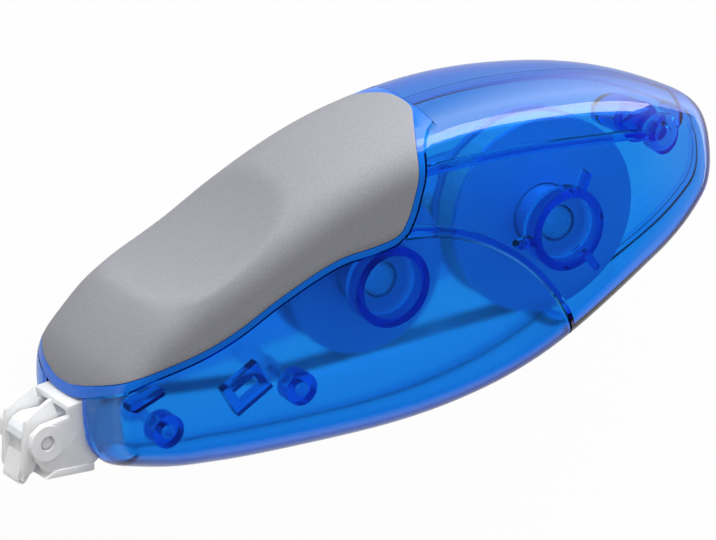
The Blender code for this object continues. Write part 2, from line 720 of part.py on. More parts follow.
def build_supply(frame):
    """Supply spool with its cap, the roll on it, and the gear that drives through a friction ring."""
    bore = POST_RADIUS + RUNNING_GAP
    bm = bmesh.new()
    turned(bm, reel_profile(bore, -FLANGE_OUTER, FLANGE_RADIUS, ROLL_CORE_RADIUS))
    add_object("supply_spool", bm, frame, PALE, 0.35, SUPPLY_AXIS)
    bm = bmesh.new()
    turned(bm, cap_profile(FLANGE_RADIUS))
    add_object("supply_flange", bm, frame, PALE, 0.35, SUPPLY_AXIS)
    bm = bmesh.new()
    turned(bm, band_profile(ROLL_CORE_RADIUS + SEAM_GAP, ROLL_RADIUS, TAPE_HALF))
    add_object("tape_roll", bm, frame, WHITE, 0.6, SUPPLY_AXIS)
    gear = build_gear("supply_gear", SUPPLY_TEETH, TRAIN_ANGLE, bore, frame, SUPPLY_AXIS, WHITE)
    bm = bmesh.new()
    inner = CLUTCH_RADIUS - CLUTCH_SECTION / 2 - SEAM_GAP
    outer = CLUTCH_RADIUS + CLUTCH_SECTION / 2 + SEAM_GAP
    turned(bm, ring_profile(inner, outer, GEAR_TOP - CLUTCH_DEPTH, GEAR_TOP + LAYER_GAP))
    combine(gear, "DIFFERENCE", add_tool("supply_gear.pocket", bm, frame, SUPPLY_AXIS))
    bm = bmesh.new()
    low = GEAR_TOP - CLUTCH_DEPTH + SEAM_GAP
    high = -FLANGE_OUTER - SEAM_GAP
    turned(bm, ring_profile(inner + SEAM_GAP, outer - SEAM_GAP, low, high))
    add_object("clutch_ring", bm, frame, DARK, 0.8, SUPPLY_AXIS)


def ring_profile(inner, outer, low, high):
    return [(inner, low), (outer, low), (outer, high), (inner, high)]


def cap_profile(radius):
    """Section of the flange that closes a reel, running on its journal."""
    return ring_profile(JOURNAL_RADIUS + RUNNING_GAP, radius, CAP_BASE, CAP_TOP)


def band_profile(inner, outer, half):
    return ring_profile(inner, outer, -half, half)


def reel_profile(bore, base, flange, core):
    """Section of a reel: its lower flange, the core the tape winds on, and the journal its cap runs on."""
    return [(bore, base), (flange, base), (flange, -FLANGE_INNER), (core, -FLANGE_INNER),
            (core, FLANGE_INNER), (JOURNAL_RADIUS, FLANGE_INNER), (JOURNAL_RADIUS, JOURNAL_TOP),
            (bore, JOURNAL_TOP)]


def build_takeup(frame):
    """Take-up drum on its gear, with its cap and the first turns of spent film."""
    bore = POST_RADIUS + RUNNING_GAP
    build_gear("takeup_gear", TAKEUP_TEETH, TRAIN_ANGLE + math.pi, bore, frame, TAKEUP_AXIS, WHITE)
    bm = bmesh.new()
    turned(bm, reel_profile(bore, GEAR_TOP + SEAM_GAP, TAKEUP_FLANGE_RADIUS, FILM_DRUM_RADIUS))
    add_object("takeup_drum", bm, frame, PALE, 0.35, TAKEUP_AXIS)
    bm = bmesh.new()
    turned(bm, cap_profile(TAKEUP_FLANGE_RADIUS))
    add_object("takeup_flange", bm, frame, PALE, 0.35, TAKEUP_AXIS)
    bm = bmesh.new()
    turned(bm, band_profile(FILM_DRUM_RADIUS + SEAM_GAP, WRAP_RADIUS, TAPE_HALF))
    add_object("film_wrap", bm, frame, CLEAR, 0.3, TAKEUP_AXIS)


def build_idler(frame):
    start = TRAIN_ANGLE + math.pi / IDLER_TEETH
    build_gear("idler_gear", IDLER_TEETH, start, IDLER_POST_RADIUS + RUNNING_GAP, frame, IDLER_AXIS, WHITE)


def build_plate(frame):
    """Inner plate with the posts that the reels, the idler and the tape turn on, and its feet."""
    bm = bmesh.new()
    pads = [(SUPPLY_AXIS, REEL_PAD_RADIUS), (TAKEUP_AXIS, REEL_PAD_RADIUS), (NOSE_FOOT, NOSE_PAD_RADIUS)]
    for centre, radius in pads:
        for level in (PLATE_BASE, PLATE_TOP):
            for x, y in circle_points(centre, radius, 2 * SMALL_STEPS):
                bm.verts.new((x, y, level))
    bmesh.ops.convex_hull(bm, input=bm.verts[:])
    loose = [v for v in bm.verts if not v.link_faces]
    bmesh.ops.delete(bm, geom=loose, context="VERTS")
    plate = add_object("mechanism_plate", bm, frame, PALE, 0.4)
    root = (PLATE_BASE + PLATE_TOP) / 2
    bm = bmesh.new()
    for axis in (SUPPLY_AXIS, TAKEUP_AXIS):
        rod(bm, axis, POST_RADIUS, root, JOURNAL_TOP - LAYER_GAP, 2 * SMALL_STEPS)
    rod(bm, IDLER_AXIS, IDLER_POST_RADIUS, root, GEAR_TOP + LAYER_GAP / 2, 2 * SMALL_STEPS)
    for guide in (FRONT_GUIDE, MIDDLE_GUIDE):
        stem = [(0, root), (GUIDE_RADIUS, root), (GUIDE_RADIUS, FLANGE_INNER)]
        pin = [(GUIDE_PIN_RADIUS, FLANGE_INNER), (GUIDE_PIN_RADIUS, JOURNAL_TOP), (0, JOURNAL_TOP)]
        turned(bm, stem + pin, guide, SMALL_STEPS)
    combine(plate, "UNION", add_tool("mechanism_plate.posts", bm, frame))
    bm = bmesh.new()
    for foot in PLATE_FEET:
        rod(bm, Vector(foot) * PLAN, POST_RADIUS, -(INNER_HALF - SEAM_GAP), root)
    combine(plate, "UNION", add_tool("mechanism_plate.feet", bm, frame))


# Nose and tip, in layers outwards from the tape
CHEEK_INNER = TAPE_HALF + TAPE_SIDE_GAP
CHEEK_OUTER = CHEEK_INNER + CHEEK_THICKNESS
FORK_INNER = CHEEK_OUTER + SEAM_GAP
NOSE_HALF = FORK_INNER + FORK_THICKNESS
NOSE_FOOT = Vector((-48.2, -1.2)) * PLAN
CHEEK_PLAN = [(-57.5, 3.9), (-60.3, 3.0), (-62.3, 2.1), (-63.4, -1.8), (-64.2, -5.2), (-64.2, -6.1),
              (-62.4, -5.9), (-61.9, -5.0), (-60.7, -4.0), (-58.3, -2.8), (-57.4, -0.8), (-57.0, 1.2)]
FORK_PLAN = [(-61.4, -6.0), (-53.8, -7.6), (-51.5, -6.4), (-47.9, -5.9), (-47.9, 0.6), (-55.6, 1.0),
             (-60.3, 1.1), (-62.4, 0.1), (-62.9, -1.5), (-62.4, -3.4)]
WEB_LOW = -5.4 * PLAN
WEB_HIGH = -3.5 * PLAN
FILM_BAR = Vector((-50.6, 0.4)) * PLAN
FILM_BAR_RADIUS = 0.7 * MM
WEB_FRONT = -49.4 * PLAN
WEB_REAR = -47.9 * PLAN


def skid_corners(front, rear):
    """Plan of the skid under the fork's lower edge, rooted in the fork and slanted at its front."""
    run = (rear - front).normalized()
    up = Vector((-run.y, run.x))
    low = up * (SKID_THICKNESS - SKID_ROOT)
    high = up * SKID_ROOT
    nose = front - run * SKID_LEAD
    return [nose - low, rear - low, rear + high, nose + high + run * SKID_BEVEL]


def build_nose(frame):
    """Clear holder: two fork arms, the web, film bar and skid between them, and the foot on the plate."""
    bm = bmesh.new()
    arm = [Vector(p) * PLAN for p in FORK_PLAN]
    prism(bm, arm, FORK_INNER, NOSE_HALF)
    nose = add_object("nose_block", bm, frame, CLEAR, 0.25)
    bm = bmesh.new()
    prism(bm, arm, -NOSE_HALF, -FORK_INNER)
    combine(nose, "UNION", add_tool("nose_block.right_arm", bm, frame))
    bm = bmesh.new()
    web = [(WEB_FRONT, WEB_LOW), (WEB_REAR - SEAM_GAP, WEB_LOW), (WEB_REAR - SEAM_GAP, WEB_HIGH),
           (WEB_FRONT, WEB_HIGH)]
    prism(bm, web, PLATE_TOP + SEAM_GAP, NOSE_HALF - FORK_THICKNESS / 2)
    rod(bm, FILM_BAR, FILM_BAR_RADIUS, FORK_THICKNESS / 2 - NOSE_HALF, NOSE_HALF - FORK_THICKNESS / 2)
    combine(nose, "UNION", add_tool("nose_block.web", bm, frame))
    bm = bmesh.new()
    prism(bm, skid_corners(arm[0], arm[1]), -NOSE_HALF - SEAM_GAP, NOSE_HALF + SEAM_GAP)
    combine(nose, "UNION", add_tool("nose_block.skid", bm, frame))
    bm = bmesh.new()
    rod(bm, TIP_PIVOT, PIN_RADIUS + RUNNING_GAP, -2 * NOSE_HALF, 2 * NOSE_HALF)
    combine(nose, "DIFFERENCE", add_tool("nose_block.eye", bm, frame))
    bm = bmesh.new()
    rod(bm, TIP_PIVOT, PIN_RADIUS, -NOSE_HALF, NOSE_HALF)
    add_object("tip_pivot_pin", bm, frame, CLEAR, 0.2)


def blade_corners():
    """Wedge from the hub to the working edge, about the pivot."""
    edge = TIP_EDGE - TIP_PIVOT
    across = Vector((-edge.y, edge.x)).normalized()
    root = edge.normalized() * HUB_RADIUS / 2
    return [root - across * BLADE_ROOT / 2, edge - across * BLADE_EDGE / 2, edge + across * BLADE_EDGE / 2,
            root + across * BLADE_ROOT / 2]


def build_tip(frame):
    """Tip head: hub, blade and the two cheeks that keep the tape on the edge."""
    cheek = [Vector(p) * PLAN - TIP_PIVOT for p in CHEEK_PLAN]
    bm = bmesh.new()
    prism(bm, cheek, CHEEK_INNER, CHEEK_OUTER)
    tip = add_object("tip_head", bm, frame, CLEAR, 0.25, TIP_PIVOT)
    bm = bmesh.new()
    prism(bm, cheek, -CHEEK_OUTER, -CHEEK_INNER)
    combine(tip, "UNION", add_tool("tip_head.right_cheek", bm, frame, TIP_PIVOT))
    middle = CHEEK_INNER + CHEEK_THICKNESS / 2
    bm = bmesh.new()
    rod(bm, (0, 0), HUB_RADIUS, -middle, middle)
    combine(tip, "UNION", add_tool("tip_head.hub", bm, frame, TIP_PIVOT))
    bm = bmesh.new()
    prism(bm, blade_corners(), -middle, middle)
    combine(tip, "UNION", add_tool("tip_head.blade", bm, frame, TIP_PIVOT))
    bm = bmesh.new()
    rod(bm, (0, 0), PIN_RADIUS + RUNNING_GAP, -2 * CHEEK_OUTER, 2 * CHEEK_OUTER)
    combine(tip, "DIFFERENCE", add_tool("tip_head.bore", bm, frame, TIP_PIVOT))


def band(bm, path):
    """A flat tape along a path in the plan."""
    half = TAPE_THICKNESS / 2
    sides = []
    for i, point in enumerate(path):
        run = path[min(i + 1, len(path) - 1)] - path[max(i - 1, 0)]
        sides.append((point, Vector((-run.y, run.x)).normalized() * half))
    corners = [p + across for p, across in sides] + [p - across for p, across in reversed(sides)]
    prism(bm, corners, -TAPE_HALF, TAPE_HALF)


def on_circle(centre, radius, angle):
    return centre + Vector((math.cos(math.radians(angle)), math.sin(math.radians(angle)))) * radius


def build_tape(frame):
    """The coated tape to the tip, its turn round the blade, and the spent film back to the drum."""
    lift = TAPE_THICKNESS / 2 + SEAM_GAP
    turn = GUIDE_RADIUS + lift
    tip_low = TIP_PIVOT + Vector((0.9, -3.4)) * MM
    path = [on_circle(SUPPLY_AXIS, ROLL_RADIUS + lift, a) for a in (296, 285, 274, 263)]
    path += [on_circle(MIDDLE_GUIDE, turn, a) for a in (262, 255)]
    path += [on_circle(FRONT_GUIDE, turn, a) for a in (75, 88, 101)]
    path.append(tip_low)
    bm = bmesh.new()
    band(bm, path)
    add_object("tape_run", bm, frame, WHITE, 0.6)
    edge = TIP_EDGE - TIP_PIVOT
    out = edge.normalized()
    across = Vector((-out.y, out.x))
    near = HUB_RADIUS + SEAM_GAP + lift
    end = edge + out * lift
    side = BLADE_EDGE / 2 + lift
    wide = BLADE_ROOT / 2 + lift
    bm = bmesh.new()
    band(bm, [out * near + across * wide * 0.9, edge + across * side, end + across * side * 0.6,
              end - across * side * 0.6, edge - across * side, out * near - across * wide * 0.9])
    add_object("tip_tape", bm, frame, WHITE, 0.6, TIP_PIVOT)
    reach = HUB_RADIUS + lift
    path = [on_circle(TIP_PIVOT, reach, a) for a in (165, 143, 121, 99, 80)]
    path += [on_circle(FILM_BAR, FILM_BAR_RADIUS + lift, a) for a in (259, 270, 281, 291)]
    path += [on_circle(TAKEUP_AXIS, WRAP_RADIUS + lift, a) for a in (111, 102, 93, 84)]
    bm = bmesh.new()
    band(bm, path)
    add_object("film_run", bm, frame, CLEAR, 0.3)


def centre_in_plan(frame):
    """Move the frame so that the middle of all the pieces, seen from above, is at the origin."""
    bpy.context.view_layer.update()
    evaluated = bpy.context.evaluated_depsgraph_get()
    corners = []
    for thing in frame.children:
        if not thing.hide_render:
            solid = thing.evaluated_get(evaluated)
            corners += [solid.matrix_world @ Vector(corner) for corner in solid.bound_box]
    for axis in (0, 1):
        reach = [corner[axis] for corner in corners]
        frame.location[axis] -= (min(reach) + max(reach)) / 2


def main():
    clear_scene()
    frame = bpy.data.objects.new("case_frame", None)
    bpy.context.collection.objects.link(frame)
    frame.location = (0, 0, HALF_THICKNESS)
    build_shells(frame)
    build_grip_carrier(frame)
    build_grip_pad(frame)
    build_nose(frame)
    build_tip(frame)
    build_plate(frame)
    build_supply(frame)
    build_idler(frame)
    build_takeup(frame)
    build_tape(frame)
    centre_in_plan(frame)


main()
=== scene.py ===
"""Correction tape dispenser: the looks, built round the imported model.

The drawing frame has x from the tip to the rear, y up to the grip and z to the left side, and its parting
plane is z = 0. The plan is drawn in millimetres, and the reel and tip joints give its scale and its place.
"""
import json
import math

import bmesh
import bpy
from bpy.props import FloatProperty, FloatVectorProperty, IntProperty, PointerProperty
from bpy.types import Operator, Panel, PropertyGroup
from mathutils import Matrix, Vector
from mathutils.geometry import interpolate_bezier
from mathutils.kdtree import KDTree


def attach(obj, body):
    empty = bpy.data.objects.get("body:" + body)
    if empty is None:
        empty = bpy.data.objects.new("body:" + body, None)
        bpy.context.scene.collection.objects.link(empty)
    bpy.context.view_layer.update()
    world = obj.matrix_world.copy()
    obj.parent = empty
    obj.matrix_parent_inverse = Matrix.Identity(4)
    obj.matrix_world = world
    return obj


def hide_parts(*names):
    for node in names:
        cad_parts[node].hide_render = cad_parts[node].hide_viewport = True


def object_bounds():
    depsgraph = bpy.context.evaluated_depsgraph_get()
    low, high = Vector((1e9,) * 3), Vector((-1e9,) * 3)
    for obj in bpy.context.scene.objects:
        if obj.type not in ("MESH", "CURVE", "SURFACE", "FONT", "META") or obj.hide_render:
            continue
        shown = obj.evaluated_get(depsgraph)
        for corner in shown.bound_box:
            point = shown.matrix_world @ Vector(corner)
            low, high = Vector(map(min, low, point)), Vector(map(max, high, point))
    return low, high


bl_info = {
    "name": "Correction tape dispenser",
    "version": (1, 0, 0),
    "blender": (4, 5, 0),
    "location": "View3D > Sidebar > Dispenser",
    "description": "Models the dispenser's case, grip, nose and finishes on its packed frame",
    "category": "Object",
}

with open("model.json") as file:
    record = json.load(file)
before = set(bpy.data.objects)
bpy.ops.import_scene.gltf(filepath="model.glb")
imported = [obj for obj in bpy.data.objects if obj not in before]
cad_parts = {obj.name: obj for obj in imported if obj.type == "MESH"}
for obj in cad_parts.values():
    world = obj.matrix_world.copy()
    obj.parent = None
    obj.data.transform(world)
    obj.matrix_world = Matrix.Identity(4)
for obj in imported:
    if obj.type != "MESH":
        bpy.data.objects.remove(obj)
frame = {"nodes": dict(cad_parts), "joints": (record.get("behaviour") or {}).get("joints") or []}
CAD_BOX = [list(corner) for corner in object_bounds()]
MM = 0.001

# Scale and place of the drawn plan, from the joints of the frame
JOINT = {joint["name"]: Vector(joint["pos_m"]) for joint in frame["joints"]}
DRAWN_SUPPLY = Vector((23.5, 1.0))
DRAWN_PIVOT = Vector((-60.3, -1.5))
PLAN = (JOINT["supply_spin"].x - JOINT["tip_rock"].x) / (DRAWN_SUPPLY.x - DRAWN_PIVOT.x)
MIDDLE = JOINT["supply_spin"] - (DRAWN_SUPPLY * PLAN).to_3d()
HALF = JOINT["supply_spin"].z

# Outlines of the case and the grip in the drawn plan
CASE_CORNERS = [(-55.1, -2.3), (-51.6, -8.7), (-23.4, -16.8), (6.7, -19.9), (32.4, -14.0), (49.3, -6.7),
                (52.9, 1.6), (50.4, 9.0), (30.4, 20.3), (1.6, 25.1), (-26.1, 19.7), (-50.5, 9.3)]
GRIP_LOW = [(-53.57, 4.72), (-52.5, 5.55), (-50.8, 6.15), (-48.5, 6.5), (-46.0, 6.6), (-38.0, 6.7),
            (-31.5, 7.7), (-23.6, 10.0), (-14.1, 11.9), (-8.1, 11.6), (-4.4, 11.6), (-3.0, 12.2)]
GRIP_REAR = [(-3.0, 12.2), (-1.5, 14.1), (-0.3, 16.3), (0.8, 18.5), (1.5, 20.6), (2.3, 22.5), (3.6, 23.9),
             (5.2, 24.7), (7.0, 25.05)]
GRIP_FRONT_Y = 4.3
SCOOP_LOW = (-41.0, 14.3)
SPINE_Y = 2.0
SPINE_ENDS = (-42.0, 44.0)
JOINT_FOOT = (21.3, -17.6)

# Half the opening round the nose as y and z, and how far along the plan it and the flat face round it reach
WINDOW_EDGE = [(4.2, 4.9), (3.2, 5.2), (-6.6, 5.5), (-9.6, 5.2)]
WINDOW_END = -51.6
FRONT_FACE_END = -51.0
FRONT_FACE_LOW = -9.0

# The nose and the tip in the drawn plan
FORK_PLAN = [(-61.4, -6.0), (-53.8, -7.6), (-51.5, -6.4), (-47.9, -5.9), (-47.9, 0.6), (-55.6, 1.0),
             (-60.3, 1.1), (-62.4, 0.1), (-62.9, -1.5), (-62.4, -3.4)]
CHEEK_PLAN = [(-57.5, 3.9), (-60.3, 3.0), (-62.3, 2.1), (-63.4, -1.8), (-64.2, -5.2), (-64.2, -6.1),
              (-62.4, -5.9), (-61.9, -5.0), (-60.7, -4.0), (-58.3, -2.8), (-57.4, -0.8), (-57.0, 1.2)]
BRIDGE_PLAN = [(-56.2, 1.7), (-50.6, 1.5), (-50.6, 2.4), (-56.0, 2.6)]
GUSSET_PLAN = [(-56.0, 0.4), (-50.8, 0.3), (-50.8, 2.0), (-56.0, 2.1)]
WEB_PLAN = [(-49.4, -5.4), (-48.2, -5.4), (-48.2, -3.5), (-49.4, -3.5)]
TIP_EDGE = (-64.1, -6.9)
FILM_BAR = (-50.6, 0.4)

# Ribs and bosses in the drawn plan
FRONT_GUIDE = (-44.7, -3.5)
MIDDLE_GUIDE = (-22.9, -5.6)
FRONT_BAR = [(-48.9, 2.0), (-44.6, 2.8)]
BOX_RIB = (-31.2, -2.2)
LONG_RIB = [(2.6, 18.7), (19.5, 15.5), (36.0, 10.2), (41.0, 7.9)]
REAR_RIB = [(45.2, 7.0), (47.0, 8.0), (47.6, 10.6)]
REAR_BOSS = (43.0, 7.0)

# Stretches along the drawn plan where the case form changes
TAPER_START = 15.0
TAPER_SPAN = 38.0
SHOULDER_MIDDLE = -1.0
SHOULDER_EVEN = 38.0
SHOULDER_FADE = 14.0
SOFT_FRONT = (-54, -42)
VISOR_FADE = (-51, -46)
SCOOP_RISE = (-47, -41)
SCOOP_FALL = (-36, -26)

# Sizes of the ribs, the bosses and the rear pin
BOSS_BORE = 4.75 * MM
BOSS_FOOT = 8.4 * MM
GUIDE_RADII = (2.5 * MM, 1.1 * MM)
GUIDE_FOOT = 8.6 * MM
RIB_FOOT = 0.2 * MM
RIB_WIDTH = 0.9 * MM
BAR_WIDTH = 1.5 * MM
BOX_SIZES = ((6.6 * MM, 5.0 * MM), (3.8 * MM, 2.2 * MM))
BOX_TURN = math.radians(20)
SPOKE_ANGLES = (54, 174, 294)
SPOKE_WIDTH = 1.2 * MM
SPOKE_LENGTH = 2.6 * MM
SPOKE_ROOT_SHARE = 0.6
REAR_BOSS_RADII = (2.7 * MM, 1.4 * MM)
REAR_BOSS_FOOT = 5.2 * MM
PILLAR_RADII = (3.3 * MM, 1.9 * MM)
PILLAR_TOP = -2.2 * MM
PILLAR_CAP = -2.6 * MM
REAR_PIN_RADIUS = 1.2 * MM
REAR_PIN_TOP = 5.6 * MM
LIP_ROOT = 0.3 * MM

# Sizes of the nose and the tip, and shares of the hub's radius and of the nose's rounding
WEB_LOW = -5.7 * MM
FILM_BAR_RADIUS = 0.7 * MM
SKID_ROOT = 0.25 * MM
SKID_LEAD = 0.2 * MM
SKID_SLANT = 1.6 * MM
BLADE_ROOT = 1.0 * MM
BLADE_EDGE = 0.25 * MM
PIN_ROUND = 0.2 * MM
EYE_SHARE = 1.2
SLAB_ROUND = 0.7
CHEEK_ROUND = 0.8

# How the grip's sections run along its crown, into its rear line and down to its edge
CROWN_PACE = 0.9
REAR_PACE = 5
EDGE_PACE = 2.2

# Where along the grip its saddle starts, and how much wider the rim is at the very front
SADDLE_START = 0.16
FRONT_REACH = 1.6

# A distance that is beyond the case on every side
FAR = 0.09

# How finely the forms are made
MERGE = 1e-7
GRIP_MERGE = 2e-6
FACET_DEPTH = 0.08 * MM
HANDLE_REACH = 0.36
CASE_STEPS = 14
LINE_STEPS = 8
RIB_STEPS = 12
ARC_STEPS = 30
END_STEPS = 8
LOW_POINTS = 90
REAR_POINTS = 60
CROWN_POINTS = 120
SECTION_ANGLES = (3, 7, *range(12, 91, 6))
SIDE_SHARES = (0.08, 0.18, 0.3, 0.44, 0.58, 0.72, 0.86)
ROUND_ANGLE = math.radians(50)
ROUND_SEGMENTS = 2


# Lines in the plan
def flat(points):
    """Drawn plan points in metres."""
    return [Vector(p) * PLAN for p in points]


def smooth_path(points, steps, closed=False):
    """A smooth curve through plan points, each span a Bezier with handles along its neighbours."""
    count = len(points)

    def direction(i):
        before = points[(i - 1) % count] if closed else points[max(i - 1, 0)]
        after = points[(i + 1) % count] if closed else points[min(i + 1, count - 1)]
        return (after - before).normalized()

    path = []
    for i in range(count if closed else count - 1):
        start, end = points[i], points[(i + 1) % count]
        span = (end - start).length * HANDLE_REACH
        leave, arrive = start + direction(i) * span, end - direction((i + 1) % count) * span
        curve = interpolate_bezier(start.to_3d(), leave.to_3d(), arrive.to_3d(), end.to_3d(), steps + 1)
        path += [p.to_2d() for p in curve[:-1]]
    return path if closed else path + [points[-1].copy()]


def offset_path(path, widths):
    """A path moved to its right by a width at each point."""
    moved = []
    for i, point in enumerate(path):
        run = path[min(i + 1, len(path) - 1)] - path[max(i - 1, 0)]
        moved.append(point + Vector((run.y, -run.x)).normalized() * widths[i])
    return moved


def outward(points, i):
    """Outward normal of a loop that runs anticlockwise."""
    run = points[(i + 1) % len(points)] - points[i - 1]
    return Vector((run.y, -run.x)).normalized()


def drawn_in(points, depth):
    """A closed loop moved inwards."""
    return [p - outward(points, i) * depth for i, p in enumerate(points)]


def even_path(path, count):
    """Points at even distances along a path."""
    lengths = [0.0]
    for a, b in zip(path, path[1:]):
        lengths.append(lengths[-1] + (b - a).length)
    even = []
    i = 0
    for number in range(count):
        reach = lengths[-1] * number / (count - 1)
        while i < len(path) - 2 and lengths[i + 1] < reach:
            i += 1
        even.append(path[i].lerp(path[i + 1], (reach - lengths[i]) / (lengths[i + 1] - lengths[i])))
    return even


# The smooth outline is drawn in by the depth that the facets of the solids cut off it
CASE_LINE = drawn_in(smooth_path(flat(CASE_CORNERS), CASE_STEPS, closed=True), FACET_DEPTH)
LOW_LINE = even_path(smooth_path(flat(GRIP_LOW), LINE_STEPS), LOW_POINTS)
REAR_LINE = even_path(smooth_path(flat(GRIP_REAR), LINE_STEPS), REAR_POINTS)
EDGE_TREE = KDTree(len(CASE_LINE))
for number, corner in enumerate(CASE_LINE):
    EDGE_TREE.insert(corner.to_3d(), number)
EDGE_TREE.balance()


# Sizes and colours that a user can change
def length_property(name, description, default):
    return FloatProperty(name=name, description=description, default=default, unit="LENGTH")


def colour_property(name, description, default):
    return FloatVectorProperty(name=name, description=description, default=default, size=3, subtype="COLOR")


class CaseSizes(PropertyGroup):
    """Sizes of the case, the grip and the nose."""
    wall: length_property("Wall", "Thickness of the shells", 0.0016)
    seam: length_property("Seam", "Gap between neighbouring mouldings", 0.0003)
    parting: length_property("Parting", "Gap between the left and right shells", 0.00008)
    shoulder: length_property("Shoulder", "Width of the rounding between side and edge", 0.007)
    end_shoulder: length_property("End shoulder", "Width of that rounding at both ends", 0.0046)
    fullness: FloatProperty(name="Fullness", default=2.6,
                            description="Power of the rounded section, 2 for an ellipse")
    front_softness: FloatProperty(name="Front softness", default=0.55,
                                  description="How much less that power is at the front")
    rear_taper: length_property("Rear taper", "How much half the case thins out at the rear", 0.0078)
    joint_bulge: length_property("Joint bulge", "How far the joint of the shells bows to the rear", 0.006)
    rim: length_property("Rim", "Width of the carrier's rim along the grip", 0.00105)
    visor: length_property("Visor", "Width of the rim over the nose", 0.00115)
    pad: length_property("Pad", "Thickness of the soft grip", 0.0013)
    saddle: length_property("Saddle", "Thickness of the carrier under the grip", 0.0014)
    scoop_radius: length_property("Scoop radius", "Radius of the finger scoop along the case", 0.0365)
    scoop_crown: length_property("Scoop crown", "Radius of the scoop across the case", 0.16)
    scoop_edge: length_property("Scoop edge", "Softness of the scoop's edge", 0.0005)
    scoop_fullness: FloatProperty(name="Scoop fullness", default=0.3,
                                  description="Extra power of the section beside the scoop")
    edge_round: length_property("Edge rounding", "Rounding of the pad's edge", 0.00022)
    lip: length_property("Lip", "Thickness of the locating lip inside the parting", 0.0004)
    lip_height: length_property("Lip height", "Height of that lip above the parting", 0.0011)
    joint_rib: length_property("Joint rib", "Width of the rib along the shells' joint", 0.0008)
    front_trim: length_property("Front trim", "Depth of the flat front face round the opening", 0.00055)
    cheek_inner: length_property("Cheek inside", "Inner side of the tip's cheeks", 0.0024)
    cheek_outer: length_property("Cheek outside", "Outer side of the tip's cheeks", 0.0032)
    fork_inner: length_property("Fork inside", "Inner side of the nose's arms", 0.0035)
    fork_outer: length_property("Fork outside", "Outer side of the nose's arms", 0.0048)
    pin_radius: length_property("Pin", "Radius of the tip's pivot pin", 0.0009)
    hub_radius: length_property("Hub", "Radius of the tip's hub", 0.0022)
    running_gap: length_property("Running gap", "Clearance round the pin", 0.00025)
    skid: length_property("Skid", "Thickness of the skid under the nose", 0.0011)
    nose_round: length_property("Nose rounding", "Rounding of the nose's edges", 0.00028)
    rib_height: length_property("Rib height", "How far the ribs stand in from the wall", 0.0016)
    boss_wall: length_property("Boss wall", "Wall of the ring bosses", 0.0013)
    grip_rows: IntProperty(name="Grip rows", description="Sections along the grip", default=84)
    grip_columns: IntProperty(name="Grip columns", default=30,
                              description="Points from the crown to the grip's edge")


class FinishColours(PropertyGroup):
    """Colours of the finishes."""
    shell: colour_property("Shell blue", "Tint that the shells give to light", (0.2, 0.76, 0.97))
    shell_depth: FloatProperty(name="Shell depth", description="Strength of the shells' tint", default=1600.0)
    shell_surface: colour_property("Shell surface", "Faint tint of the shells' surface", (0.93, 0.96, 0.985))
    carrier: colour_property("Carrier blue", "Blue of the carrier round the grip", (0.004, 0.19, 0.85))
    rubber: colour_property("Rubber", "Grey of the soft grip", (0.232, 0.235, 0.258))
    frost: colour_property("Frosted clear", "Tint of the nose and the tip", (0.975, 0.975, 0.98))
    plate: colour_property("Plate", "Tint of the translucent inner plate", (0.5, 0.68, 0.97))
    inner: colour_property("Inner plastic", "Pale plastic of the reels", (0.55, 0.58, 0.92))
    gear: colour_property("Gear plastic", "White plastic of the gears", (0.80, 0.80, 0.79))
    tape: colour_property("Tape", "White coating of the tape", (0.86, 0.86, 0.85))
    film: colour_property("Film", "Spent carrier film", (0.78, 0.82, 0.86))
    clutch: colour_property("Clutch", "Black rubber of the clutch ring", (0.05, 0.05, 0.06))


def sizes():
    return bpy.context.scene.dispenser_sizes


def colours():
    return bpy.context.scene.dispenser_colours


# The case form
def half_thickness(x):
    """Half the case's thickness, which tapers to the rear."""
    run = (x / PLAN - TAPER_START) / TAPER_SPAN
    return HALF - sizes().rear_taper * max(run, 0) ** 2


def shoulder(x):
    """Width of the rounding at a place along the case."""
    run = (abs(x / PLAN - SHOULDER_MIDDLE) - SHOULDER_EVEN) / SHOULDER_FADE
    return sizes().shoulder - (sizes().shoulder - sizes().end_shoulder) * min(max(run, 0), 1)


def eased(value, start, end):
    """0 before the start and 1 after the end, with a smooth rise between them."""
    share = min(max((value - start) / (end - start), 0), 1)
    return share * share * (3 - 2 * share)


def fullness(x):
    """Power of the rounded section at a place along the case, softer at the front."""
    return sizes().fullness - sizes().front_softness * (1 - eased(x / PLAN, *SOFT_FRONT))


def new_mesh():
    """An empty bmesh whose corners remember their place in a ring."""
    bm = bmesh.new()
    bm.verts.layers.int.new("order")
    return bm


def face_outwards(bm):
    """A bmesh with its faces turned outwards."""
    bm.normal_update()
    bmesh.ops.recalc_face_normals(bm, faces=bm.faces[:])
    return bm


def new_corners(grown):
    """The corners that an operator has made."""
    return [g for g in grown["geom"] if isinstance(g, bmesh.types.BMVert)]


def ring_of(bm, points, closed=True):
    """A line of edges through the points, each corner numbered in order."""
    order = bm.verts.layers.int["order"]
    verts = [bm.verts.new(p) for p in points]
    for i, vert in enumerate(verts):
        vert[order] = i
    ends = verts[1:] + verts[:1] if closed else verts[1:]
    return [bm.edges.new(pair) for pair in zip(verts, ends)]


def grow_ring(bm, edges, place):
    """Extrude a ring of edges, and put each new corner where place says for its number."""
    order = bm.verts.layers.int["order"]
    grown = bmesh.ops.extrude_edge_only(bm, edges=edges)
    fresh = new_corners(grown)
    for vert in fresh:
        vert.co = place(vert[order])
    made = [g for g in grown["geom"] if isinstance(g, bmesh.types.BMEdge)]
    return [edge for edge in made if set(edge.verts) <= set(fresh)]


